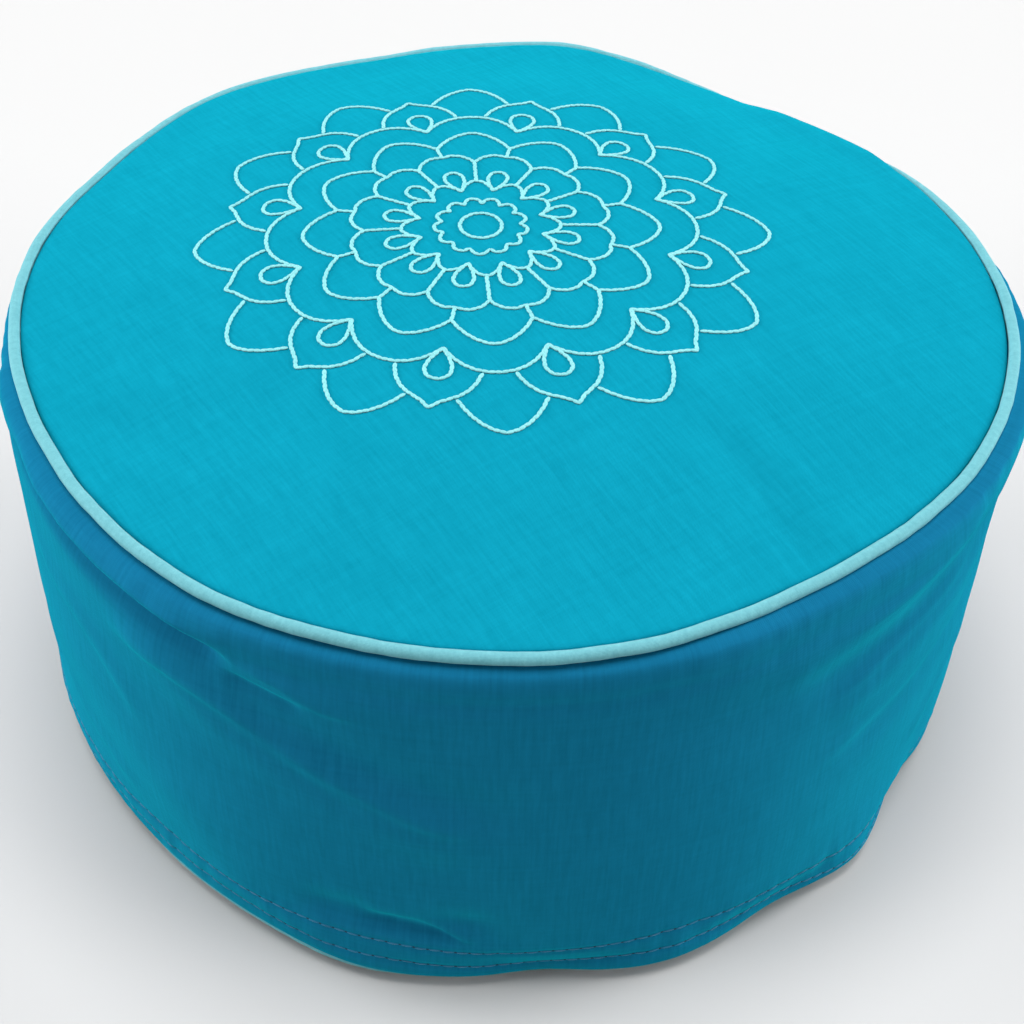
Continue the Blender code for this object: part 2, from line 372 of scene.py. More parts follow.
def smooth_course(knots: Sequence[Sequence[float]], steps: int) -> np.ndarray:
    """Run a smooth curve through knots.

    Args:
        knots: Points that the curve passes, two numbers each.
        steps: Pieces between two neighbouring knots.

    Returns:
        The curve's points, with both ends.
    """
    known = np.array(knots, float)
    padded = np.vstack((2 * known[0] - known[1], known, 2 * known[-1] - known[-2]))
    share = np.linspace(0.0, 1.0, steps, endpoint=False)[:, None]
    runs = []
    for before, start, end, after in zip(padded, padded[1:], padded[2:], padded[3:]):
        run = 2 * start + (end - before) * share
        run += (2 * before - 5 * start + 4 * end - after) * share**2
        run += (3 * start - before - 3 * end + after) * share**3
        runs.append(0.5 * run)
    return np.vstack([*runs, known[-1:]])


class Settling:
    """How the filling has pushed the round cover out of true, the same for all its pieces."""

    def outline(self, azimuth: np.ndarray, rows: Sequence[SwellRow]) -> np.ndarray:
        """How far a table of swells stands out at each azimuth.

        Args:
            azimuth: Azimuths in degrees.
            rows: The swells.

        Returns:
            Distances in metres.
        """
        total = np.zeros(len(azimuth))
        for row in rows:
            total += row.outward * bell(turn_between(azimuth, row.azimuth), row.half_width)
        return total * MM

    def drift(self, azimuth: np.ndarray, height: np.ndarray) -> np.ndarray:
        """How far the filling pushes the band's round outline outwards.

        Args:
            azimuth: Azimuths in degrees.
            height: Heights over the floor, in metres.

        Returns:
            Distances in metres.
        """
        height_share = eased(height / SEAM_HEIGHT)
        outward = self.outline(azimuth, BASE_SWELLS) * (1.0 - height_share)
        outward += self.outline(azimuth, SEAM_SWELLS) * height_share
        return outward + self.outline(azimuth, LOWER_WAVES) * bell(height, WAVE_HEIGHT)

    def folds(self, azimuth: np.ndarray, drop: np.ndarray) -> np.ndarray:
        """How far the band's folds move its skin outwards.

        Args:
            azimuth: Azimuths in degrees.
            drop: Depths below the seam, in metres.

        Returns:
            Distances in metres.
        """
        total = np.zeros(len(azimuth))
        for row in BAND_FOLDS:
            course = ((row.azimuth_a, row.drop_a), (row.azimuth_b, row.drop_b))
            distance, _, _ = self.beside(azimuth, drop, course)
            total += row.outward * bell(distance, row.half_width)
        return total * MM

    def beside(
        self, azimuth: np.ndarray, drop: np.ndarray, course: Sequence[tuple[float, float]]
    ) -> tuple[np.ndarray, np.ndarray, np.ndarray]:
        """Where places of the unrolled band lie beside a course over it.

        Args:
            azimuth: Azimuths in degrees.
            drop: Depths below the seam, in metres.
            course: The (azimuth, drop) points of the course, in degrees and millimetres.

        Returns:
            The distance to the course in millimetres, the same above it (positive) or below it,
            and the share of the course's length at the nearest point.
        """
        origin = course[0][0]
        arc = math.radians(1.0) * SEAM_RADIUS / MM
        places = np.stack((turn_between(azimuth, origin) * arc, drop / MM), axis=1)
        knots = np.array([((a - origin + 180.0) % 360.0 - 180.0) * arc for a, _ in course])
        knots = np.stack((knots, np.array([d for _, d in course], float)), axis=1)
        lengths = np.linalg.norm(np.diff(knots, axis=0), axis=1)
        nearest = np.full(len(places), np.inf)
        over = np.zeros(len(places))
        share = np.zeros(len(places))
        passed = 0.0
        for start, end, length in zip(knots, knots[1:], lengths):
            run = end - start
            part = np.clip((places - start) @ run / length**2, 0.0, 1.0)
            away = places - start - part[:, None] * run
            distance = np.hypot(away[:, 0], away[:, 1])
            upward = np.array((run[1], -run[0])) / length
            upward *= 1.0 if upward[1] < 0.0 else -1.0
            closer = distance < nearest
            nearest = np.where(closer, distance, nearest)
            over = np.where(closer, away @ upward, over)
            share = np.where(closer, (passed + part * length) / lengths.sum(), share)
            passed += length
        return nearest, over, share

    def creases(self, azimuth: np.ndarray, drop: np.ndarray, rows: Sequence[Crease]) -> np.ndarray:
        """How far finer creases move the band's skin outwards.

        Args:
            azimuth: Azimuths in degrees.
            drop: Depths below the seam, in metres.
            rows: The creases, each fading out at its two ends.

        Returns:
            Distances in metres.
        """
        total = np.zeros(len(azimuth))
        for row in rows:
            distance, over, share = self.beside(azimuth, drop, row.course)
            fade = eased(share / 0.25) * eased((1.0 - share) / 0.25)
            total += row.outward * fade * bell(distance, np.where(over > 0.0, row.above, row.below))
        return total * MM

    def humps(self, x: np.ndarray, y: np.ndarray) -> np.ndarray:
        """How far the top panel's swells lift it at places in plan.

        Args:
            x: Places along X, in metres.
            y: Places along Y, in metres.

        Returns:
            Lifts in metres.
        """
        total = np.zeros(len(x))
        for row in TOP_HUMPS:
            total += row.lift * bell(np.hypot(x / MM - row.x, y / MM - row.y), row.half_width)
        return total * MM * rise(PANEL_RADIUS - np.hypot(x, y), 0.0, 20.0)

    def top_folds(self, x: np.ndarray, y: np.ndarray) -> np.ndarray:
        """How far the finer folds of the top panel's cloth lift it.

        Args:
            x: Places along X, in metres.
            y: Places along Y, in metres.

        Returns:
            Lifts in metres.
        """
        places = np.stack((x, y), axis=1) / MM
        total = np.zeros(len(x))
        for start, end, half_width, lift in TOP_FOLDS:
            run = np.subtract(end, start)
            part = np.clip((places - start) @ run / (run @ run), 0.0, 1.0)
            away = places - start - part[:, None] * run
            total += lift * bell(np.hypot(away[:, 0], away[:, 1]), half_width)
        return total * MM * rise(PANEL_RADIUS - np.hypot(x, y), 0.0, 10.0)

    def settle(self, points: np.ndarray) -> np.ndarray:
        """Move points of the round cushion to where the filling pushes them.

        Args:
            points: Rows of x, y and z in metres.

        Returns:
            The moved points.
        """
        x, y, z = points.T
        radius = np.hypot(x, y)
        azimuth = azimuths_of(points)
        rim_share = np.clip(radius / SEAM_RADIUS, 0.0, 1.0)
        outward = self.drift(azimuth, z) * rim_share**2
        skin = eased((radius - SEAM_RADIUS - SKIN_STARTS) / SKIN_DEPTH)
        skin = skin * eased((z - BASE_SEAM_HEIGHT) / FOLD_FOOT)
        outward += skin * self.folds(azimuth, SEAM_HEIGHT - z)
        lift = -self.outline(azimuth, SEAM_SAGS) * rim_share**SAG_POWER * eased(z / SEAM_HEIGHT)
        lift += np.where(z > SEAM_HEIGHT - TOP_DEPTH, self.humps(x, y), 0.0)
        moved = widened(points, outward)
        moved[:, 2] += lift
        return moved


SETTLING = Settling()


@dataclass(frozen=True)
class Puckers:
    """Small ripples that a row of machine stitches draws into the cloth, all the way round."""

    counts: tuple[int, ...] = (61, 79, 97, 113, 139)
    golden_turn: float = 2.399963

    def ripple(self, azimuth: np.ndarray) -> np.ndarray:
        """The ripple at each azimuth, about -1 to 1.

        Args:
            azimuth: Azimuths in degrees.

        Returns:
            The sum of waves that never quite repeat, swelling and fading round the cushion.
        """
        turn = np.radians(azimuth)
        waves = sum(np.sin(count * turn + self.golden_turn * i) for i, count in enumerate(self.counts))
        strength = 0.65 + 0.35 * np.sin(7 * turn + 1.0) * np.sin(3 * turn + 0.4)
        return waves / len(self.counts) * 1.6 * strength


PUCKERS = Puckers()


# Ways of working on meshes


def deselect_all() -> None:
    """Leave no object selected, so that an operator acts on the new piece alone."""
    for other in bpy.context.selected_objects:
        other.select_set(False)
    bpy.context.view_layer.objects.active = None


def take_up(piece: Piece) -> None:
    """Select one piece and make it active."""
    deselect_all()
    piece.select_set(True)
    bpy.context.view_layer.objects.active = piece


def named(name: str) -> Piece:
    """Name the primitive that was just added, and its mesh.

    Args:
        name: The piece's name.

    Returns:
        The piece.
    """
    piece = bpy.context.object
    piece.name = piece.data.name = name
    return piece


def points_of(piece: Piece) -> np.ndarray:
    """The vertices of a piece as rows of x, y and z."""
    flat = np.empty(len(piece.data.vertices) * 3, np.float32)
    piece.data.vertices.foreach_get("co", flat)
    return flat.reshape(-1, 3).astype(float)


def set_points(piece: Piece, points: np.ndarray) -> None:
    """Move the vertices of a piece to new places."""
    piece.data.vertices.foreach_set("co", points.astype(np.float32).ravel())
    piece.data.update()


def finish_with(piece: Piece, kind: str, **settings: object) -> None:
    """Add a modifier with its settings, and apply it.

    Args:
        piece: The piece to work on.
        kind: The modifier's type.
        **settings: The modifier's properties.
    """
    take_up(piece)
    modifier = piece.modifiers.new(kind.lower(), kind)
    for name, value in settings.items():
        setattr(modifier, name, value)
    bpy.ops.object.modifier_apply(modifier=modifier.name)


def face_outwards(piece: Piece) -> None:
    """Merge doubled vertices, and turn all faces outwards.

    Args:
        piece: The piece to work on.
    """
    take_up(piece)
    bpy.ops.object.mode_set(mode="EDIT")
    bpy.ops.mesh.select_all(action="SELECT")
    bpy.ops.mesh.remove_doubles(threshold=1e-6)
    bpy.ops.mesh.normals_make_consistent(inside=False)
    bpy.ops.object.mode_set(mode="OBJECT")


def put_in_order(piece: Piece) -> None:
    """Number a piece's points and faces by their places, so that each run fills the same skin.

    Args:
        piece: The piece, whose shape stays as it is.
    """
    points = points_of(piece)
    order = np.lexsort(np.round(points, 6).T)
    number = np.empty(len(order), int)
    number[order] = np.arange(len(order))
    faces = []
    for polygon in piece.data.polygons:
        corners = number[list(polygon.vertices)].tolist()
        first = corners.index(min(corners))
        faces.append((*corners[first:], *corners[:first]))
    piece.data.clear_geometry()
    piece.data.from_pydata(points[order].tolist(), [], sorted(faces))


def select_where(piece: Piece, chosen: Callable[[Vector], bool]) -> None:
    """Select the vertices of the piece in edit mode that a test picks by their place.

    Args:
        piece: A piece in edit mode.
        chosen: Says of a place whether it is picked.
    """
    bpy.ops.mesh.select_all(action="DESELECT")
    shape = bmesh.from_edit_mesh(piece.data)
    for vertex in shape.verts:
        vertex.select = bool(chosen(vertex.co))
    shape.select_flush(True)
    bmesh.update_edit_mesh(piece.data)


def turned(name: str, rows: Sequence[ProfileRow], around: int) -> Piece:
    """Draw a ring out row by row along a profile, and leave both its ends open.

    Args:
        name: The piece's name.
        rows: The profile.
        around: Steps round the axis.

    Returns:
        The turned mesh.
    """
    deselect_all()
    bpy.ops.mesh.primitive_circle_add(vertices=around, radius=rows[0].radius, fill_type="NOTHING")
    piece = named(name)
    bpy.ops.object.mode_set(mode="EDIT")
    bpy.ops.mesh.select_mode(type="VERT")
    bpy.ops.mesh.select_all(action="SELECT")
    bpy.ops.transform.translate(value=(0.0, 0.0, rows[0].height))
    for before, after in pairwise(rows):
        upward = {"value": (0.0, 0.0, after.height - before.height)}
        bpy.ops.mesh.extrude_edges_move(TRANSFORM_OT_translate=upward)
        share = after.radius / before.radius
        bpy.ops.transform.resize(value=(share, share, 1.0), center_override=(0.0, 0.0, after.height))
    bpy.ops.object.mode_set(mode="OBJECT")
    face_outwards(piece)
    put_in_order(piece)
    return piece


def close_end(piece: Piece, row: ProfileRow) -> None:
    """Draw an open end's small ring together into a point.

    Args:
        piece: The turned piece.
        row: Where the ring is.
    """
    reach = row.radius * 1.2
    take_up(piece)
    bpy.ops.object.mode_set(mode="EDIT")
    select_where(piece, lambda at: math.hypot(at.x, at.y) < reach and abs(at.z - row.height) < END_REACH)
    bpy.ops.mesh.merge(type="CENTER")
    bpy.ops.object.mode_set(mode="OBJECT")


def surface_of(piece: Piece) -> BVHTree:
    """The faces of a piece, ready for finding the place under a needle."""
    mesh = piece.data
    return BVHTree.FromPolygons([v.co for v in mesh.vertices], [tuple(p.vertices) for p in mesh.polygons])


def sewn_copies(name: str, stitch: Piece, places: Sequence[Matrix]) -> Piece:
    """Copy one modelled stitch to many places, as one mesh.

    Args:
        name: The new piece's name.
        stitch: The modelled stitch, which is used up.
        places: Where each copy goes.

    Returns:
        The piece that holds all copies.
    """
    shape = points_of(stitch)
    faces = [tuple(polygon.vertices) for polygon in stitch.data.polygons]
    moves = np.array([[list(row) for row in place] for place in places])
    spots = np.einsum("kij,nj->kni", moves[:, :3, :3], shape) + moves[:, None, :3, 3]
    mesh = bpy.data.meshes.new(name)
    starts = range(0, len(places) * len(shape), len(shape))
    all_faces = [tuple(index + start for index in face) for start in starts for face in faces]
    mesh.from_pydata(spots.reshape(-1, 3).tolist(), [], all_faces)
    mesh.shade_smooth()
    bpy.data.objects.remove(stitch)
    piece = bpy.data.objects.new(name, mesh)
    bpy.context.scene.collection.objects.link(piece)
    return piece


def modelled_stitch(length: float, width: float, height: float) -> Piece:
    """Model one stitch of thread: a long low lens that lies along X.

    Args:
        length: From needle hole to needle hole.
        width: Across the thread.
        height: From its underside to its back.

    Returns:
        The stitch.
    """
    deselect_all()
    lying = (0.0, math.pi / 2, 0.0)
    bpy.ops.mesh.primitive_uv_sphere_add(segments=8, ring_count=7, radius=0.5, rotation=lying)
    stitch = named("stitch")
    bpy.ops.object.transform_apply(rotation=True)
    bpy.ops.object.mode_set(mode="EDIT")
    bpy.ops.mesh.select_all(action="SELECT")
    bpy.ops.transform.resize(value=(length, width, height), center_override=(0.0, 0.0, 0.0))
    bpy.ops.object.mode_set(mode="OBJECT")
    return stitch


# Finishes


class NodeSheet:
    """The nodes of one finish, with short ways to add and join them."""

    def __init__(self, name: str) -> None:
        """Start a material with its shader and output.

        Args:
            name: The material's name.
        """
        self.material = bpy.data.materials.new(name)
        self.material.use_nodes = True
        self.tree = self.material.node_tree
        self.shader = self.tree.nodes["Principled BSDF"]

    def put(self, kind: str, inputs: dict[str | int, object] | None = None, **settings: object) -> Node:
        """Add a node.

        Args:
            kind: The node's type.
            inputs: Values or sockets for its inputs, by name or number.
            **settings: The node's properties.

        Returns:
            The node.
        """
        node = self.tree.nodes.new(kind)
        for name, value in settings.items():
            setattr(node, name, value)
        for key, value in (inputs or {}).items():
            if isinstance(value, bpy.types.NodeSocket):
                self.tree.links.new(value, node.inputs[key])
            else:
                node.inputs[key].default_value = value
        return node

    def calculate(self, operation: str, first: object, second: object = 0.0, third: object = 0.0) -> Socket:
        """Add a Math node and give its result.

        Args:
            operation: The node's operation.
            first: Its first value or socket.
            second: Its second.
            third: Its third.

        Returns:
            The socket with the result.
        """
        return self.put("ShaderNodeMath", {0: first, 1: second, 2: third}, operation=operation).outputs[0]

    def ranged(self, value: Socket, low: float, high: float, to_low: float, to_high: float) -> Socket:
        """Map a value from one range to another, clipped."""
        inputs = {"Value": value, "From Min": low, "From Max": high, "To Min": to_low, "To Max": to_high}
        return self.put("ShaderNodeMapRange", inputs).outputs["Result"]

    def noise(self, vector: Socket, scale: float, detail: float = 2.0) -> Socket:
        """Add a noise texture and give its value."""
        inputs = {"Vector": vector, "Scale": scale, "Detail": detail, "Roughness": 0.6}
        return self.put("ShaderNodeTexNoise", inputs).outputs["Fac"]

    def stretched(self, vector: Socket, scale: tuple[float, float, float]) -> Socket:
        """Scale a vector differently along each axis."""
        return self.put("ShaderNodeMapping", {"Vector": vector, "Scale": scale}).outputs["Vector"]

    def object_place(self) -> Socket:
        """The place of each point on its object, in metres."""
        return self.put("ShaderNodeTexCoord").outputs["Object"]

    def varied(self, share: Socket | float, value: Socket, contrast: float) -> Socket:
        """Let a noise's value sway a share, by up to the contrast each way."""
        sway = self.ranged(value, 0.3, 0.7, -1.0, 1.0)
        return self.calculate("MULTIPLY_ADD", sway, contrast, share)

    def bumped(self, height: Socket) -> None:
        """Let a height in metres shape the shader's normal."""
        node = self.put("ShaderNodeBump", {"Height": height, "Strength": 1.0, "Distance": 1.0})
        self.tree.links.new(node.outputs["Normal"], self.shader.inputs["Normal"])

    def dyed(self, share: Socket, deep: Colour, light: Colour) -> None:
        """Colour the shader between a deep and a light tone.

        Args:
            share: How much of the light tone, 0 to 1.
            deep: The deep tone.
            light: The light tone.
        """
        clipped = self.ranged(share, 0.0, 1.0, 0.0, 1.0)
        tones = {0: clipped, 6: (*deep, 1.0), 7: (*light, 1.0)}
        node = self.put("ShaderNodeMix", tones, data_type="RGBA")
        self.tree.links.new(node.outputs[2], self.shader.inputs["Base Color"])

    def roughened(self, value: Socket) -> None:
        """Give the shader its roughness."""
        self.tree.links.new(value, self.shader.inputs["Roughness"])

    def fixed(self, **values: object) -> None:
        """Set the shader's own values that are the same all over the surface."""
        for name, value in values.items():
            self.shader.inputs[name.replace("_", " ")].default_value = value


class Grain(Enum):
    """How the threads of a cloth run over a piece."""

    FLAT = "over the flat of a panel"
    ROUND_THE_BAND = "up and round the band"


@dataclass(frozen=True)
class CanvasFinish:
    """Plain-woven cotton canvas with slubs in its threads. Colours are linear.

    Its tinted sheen and its lack of shine are matched to the photograph, not measured.
    """

    name: str
    deep: Colour
    light: Colour
    grain: Grain
    grain_turn: float = 0.0
    thread_pitch: float = 0.62 * MM
    thread_height: float = 0.014 * MM
    slub_width: float = 1.35 * MM
    slub_length: float = 20.0 * MM
    slub_height: float = 0.018 * MM
    slub_contrast: float = 0.20
    weft_contrast: float = 0.10
    mottling: tuple[float, float, float] = (26.0, 3.0, 0.08)  # scale, detail and contrast
    clouds: tuple[float, float, float] = (240.0, 2.0, 0.08)
    flecks: tuple[float, float, float] = (900.0, 2.0, 0.06)
    weave_contrast: float = 0.03
    sheen: float = 0.12
    sheen_tint: Colour = (0.0, 0.95, 0.90)

    def cloth_place(self, sheet: NodeSheet) -> Socket:
        """The place on the flat cloth of each point: X across its slubs, Y along them.

        Args:
            sheet: The finish's nodes.

        Returns:
            The socket with the place in metres.
        """
        place = sheet.object_place()
        if self.grain is Grain.FLAT:
            turn = (0.0, 0.0, math.radians(self.grain_turn))
            return sheet.put("ShaderNodeMapping", {"Vector": place, "Rotation": turn}).outputs["Vector"]
        apart = sheet.put("ShaderNodeSeparateXYZ", {0: place})
        # The sum starts at the back, where the band's ends would meet.
        backward = sheet.calculate("MULTIPLY", apart.outputs["Y"], -1.0)
        turn = sheet.calculate("ARCTAN2", apart.outputs["X"], backward)
        round_band = sheet.calculate("MULTIPLY", turn, SEAM_RADIUS)
        cloth = {"X": round_band, "Y": apart.outputs["Z"]}
        return sheet.put("ShaderNodeCombineXYZ", cloth).outputs["Vector"]

    def weave(self, sheet: NodeSheet, place: Socket) -> Socket:
        """Height of the over-and-under of warp and weft.

        Args:
            sheet: The finish's nodes.
            place: The place on the flat cloth, in metres.

        Returns:
            The socket with the height, -1 to 1.
        """
        apart = sheet.put("ShaderNodeSeparateXYZ", {0: place})
        turns = math.tau / self.thread_pitch
        warp = sheet.calculate("SINE", sheet.calculate("MULTIPLY", apart.outputs["X"], turns))
        weft = sheet.calculate("SINE", sheet.calculate("MULTIPLY", apart.outputs["Y"], turns))
        return sheet.calculate("MULTIPLY", warp, weft)

    def material(self) -> bpy.types.Material:
        """Build the canvas.

        Returns:
            The material.
        """
        sheet = NodeSheet(self.name)
        place = self.cloth_place(sheet)
        weave = self.weave(sheet, place)
        along = sheet.stretched(place, (1.0 / self.slub_width, 1.0 / self.slub_length, 1.0))
        across = sheet.stretched(place, (0.4 / self.slub_length, 0.8 / self.slub_width, 1.0))
        slubs = sheet.noise(along, 1.0)
        weft_slubs = sheet.noise(across, 1.0)
        flecks = sheet.noise(place, *self.flecks[:2])
        share = sheet.varied(0.5, slubs, self.slub_contrast)
        share = sheet.varied(share, weft_slubs, self.weft_contrast)
        for scale, detail, contrast in (self.mottling, self.clouds):
            share = sheet.varied(share, sheet.noise(place, scale, detail), contrast)
        share = sheet.varied(share, flecks, self.flecks[2])
        share = sheet.calculate("MULTIPLY_ADD", weave, self.weave_contrast, share)
        sheet.dyed(share, self.deep, self.light)
        height = sheet.calculate("MULTIPLY", weave, self.thread_height)
        height = sheet.calculate("MULTIPLY_ADD", slubs, self.slub_height * 2.0, height)
        height = sheet.calculate("MULTIPLY_ADD", weft_slubs, self.slub_height, height)
        height = sheet.calculate("MULTIPLY_ADD", flecks, self.slub_height * 0.6, height)
        sheet.bumped(height)
        sheet.roughened(sheet.ranged(flecks, 0.2, 0.8, 0.78, 0.94))
        sheet.fixed(Sheen_Weight=self.sheen, Sheen_Roughness=0.45, Sheen_Tint=(*self.sheen_tint, 1.0))
        sheet.fixed(Specular_IOR_Level=0.0)
        return sheet.material


@dataclass(frozen=True)
class PipingFinish:
    """Fine cloth cut on the bias and wrapped round a cord. It follows the cord's own UV map."""

    name: str
    deep: Colour
    light: Colour
    turns_round_ring: float = 1480.0
    turns_round_cord: float = 17.0
    thread_height: float = 0.035 * MM
    lump_height: float = 0.12 * MM
    fleck_height: float = 0.04 * MM
    weave_contrast: float = 0.16
    lump_contrast: float = 0.24
    fleck_contrast: float = 0.18

    def material(self) -> bpy.types.Material:
        """Build the wrapped cloth.

        Returns:
            The material.
        """
        sheet = NodeSheet(self.name)
        place = sheet.put("ShaderNodeUVMap").outputs["UV"]
        apart = sheet.put("ShaderNodeSeparateXYZ", {0: place})
        ring = sheet.calculate("MULTIPLY", apart.outputs["X"], math.tau * self.turns_round_ring)
        cord = sheet.calculate("MULTIPLY", apart.outputs["Y"], math.tau * self.turns_round_cord)
        rising = sheet.calculate("SINE", sheet.calculate("ADD", ring, cord))
        falling = sheet.calculate("SINE", sheet.calculate("SUBTRACT", ring, cord))
        weave = sheet.calculate("MULTIPLY", rising, falling)
        lumps = sheet.noise(sheet.stretched(place, (520.0, 3.0, 1.0)), 1.0)
        flecks = sheet.noise(sheet.object_place(), 1500.0)
        share = sheet.calculate("MULTIPLY_ADD", weave, self.weave_contrast, 0.5)
        share = sheet.varied(share, lumps, self.lump_contrast)
        share = sheet.varied(share, flecks, self.fleck_contrast)
        sheet.dyed(share, self.deep, self.light)
        height = sheet.calculate("MULTIPLY", weave, self.thread_height)
        height = sheet.calculate("MULTIPLY_ADD", lumps, self.lump_height, height)
        height = sheet.calculate("MULTIPLY_ADD", flecks, self.fleck_height, height)
        sheet.bumped(height)
        sheet.roughened(sheet.ranged(flecks, 0.2, 0.8, 0.74, 0.92))
        sheet.fixed(Sheen_Weight=0.10, Sheen_Roughness=0.4, Sheen_Tint=(0.6, 1.0, 1.0, 1.0))
        sheet.fixed(Specular_IOR_Level=0.10)
        return sheet.material


@dataclass(frozen=True)
class ThreadFinish:
    """Sewing thread, with fine strands along and across each stitch."""

    name: str
    deep: Colour
    light: Colour
    roughness: float
    sheen: float = 0.2
    strand_height: float = 0.06 * MM
    strand_contrast: float = 0.35
    length_contrast: float = 0.20

    def material(self) -> bpy.types.Material:
        """Build the thread.

        Returns:
            The material.
        """
        sheet = NodeSheet(self.name)
        place = sheet.object_place()
        strands = sheet.noise(place, 2600.0)
        share = sheet.varied(0.5, strands, self.strand_contrast)
        share = sheet.varied(share, sheet.noise(place, 260.0, 1.0), self.length_contrast)
        sheet.dyed(share, self.deep, self.light)
        sheet.bumped(sheet.calculate("MULTIPLY", strands, self.strand_height))
        sheet.roughened(sheet.ranged(strands, 0.2, 0.8, self.roughness - 0.08, self.roughness + 0.08))
        sheet.fixed(Sheen_Weight=self.sheen, Sheen_Roughness=0.35, Sheen_Tint=(0.9, 1.0, 1.0, 1.0))
        sheet.fixed(Specular_IOR_Level=0.35)
        return sheet.material


@dataclass(frozen=True)
class FloorFinish:
    """A plain pale floor."""

    name: str = "pale_floor"
    colour: Colour = (0.45, 0.45, 0.45)

    def material(self) -> bpy.types.Material:
        """Build the floor's finish.

        Returns:
            The material.
        """
        sheet = NodeSheet(self.name)
        faint = sheet.noise(sheet.object_place(), 3.0)
        sheet.dyed(faint, tuple(part * 0.985 for part in self.colour), self.colour)
        sheet.roughened(sheet.ranged(faint, 0.3, 0.7, 0.72, 0.8))
        sheet.fixed(Specular_IOR_Level=0.1)
        return sheet.material


# The panels and the band look like one turquoise canvas. The band's tones were set deeper than the top's
# until the render agreed with the photograph, so they hold part of its shade and not only its dye.
BAND_TONES = ((0.0036, 0.0845, 0.170), (0.0058, 0.120, 0.233))
TOP_TONES = ((0.0016, 0.157, 0.231), (0.0032, 0.213, 0.307))
TOP_CANVAS = CanvasFinish("top_canvas", *TOP_TONES, Grain.FLAT, grain_turn=-35.0)
BAND_CANVAS = CanvasFinish("band_canvas", *BAND_TONES, Grain.ROUND_THE_BAND, slub_contrast=0.26, sheen=0.25)
# The bottom panel takes the band's tones, and with them the painted shade that is in them.
BASE_CANVAS = CanvasFinish("base_canvas", *BAND_TONES, Grain.FLAT, grain_turn=-35.0)
AQUA_PIPING = PipingFinish("aqua_piping", (0.086, 0.280, 0.320), (0.135, 0.370, 0.418))
AQUA_THREAD = ThreadFinish("aqua_embroidery_thread", (0.122, 0.385, 0.408), (0.192, 0.497, 0.520), 0.7)
TEAL_THREAD = ThreadFinish("teal_sewing_thread", (0.002, 0.095, 0.18), (0.004, 0.14, 0.26), 0.7)
# Needle holes are drawn as small dark lenses: painted shade for the dimple of each hole, not a colour of the
# cloth.
NEEDLE_HOLE_SHADE = ThreadFinish("needle_hole_shade", (0.001, 0.025, 0.050), (0.002, 0.038, 0.070), 0.9, sheen=0.0)


# Pieces of the cushion


def dressed(piece: Piece, material: bpy.types.Material) -> Piece:
    """Give a piece its finish and smooth shading, and let it ride with the cushion.

    Args:
        piece: The piece.
        material: Its finish.

    Returns:
        The piece.
    """
    piece.data.materials.clear()
    piece.data.materials.append(material)
    piece.data.shade_smooth()
    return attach(piece, "root")


def told(piece: Piece) -> None:
    """Report a finished piece."""
    LOG.info("%s: %d faces", piece.name, len(piece.data.polygons))


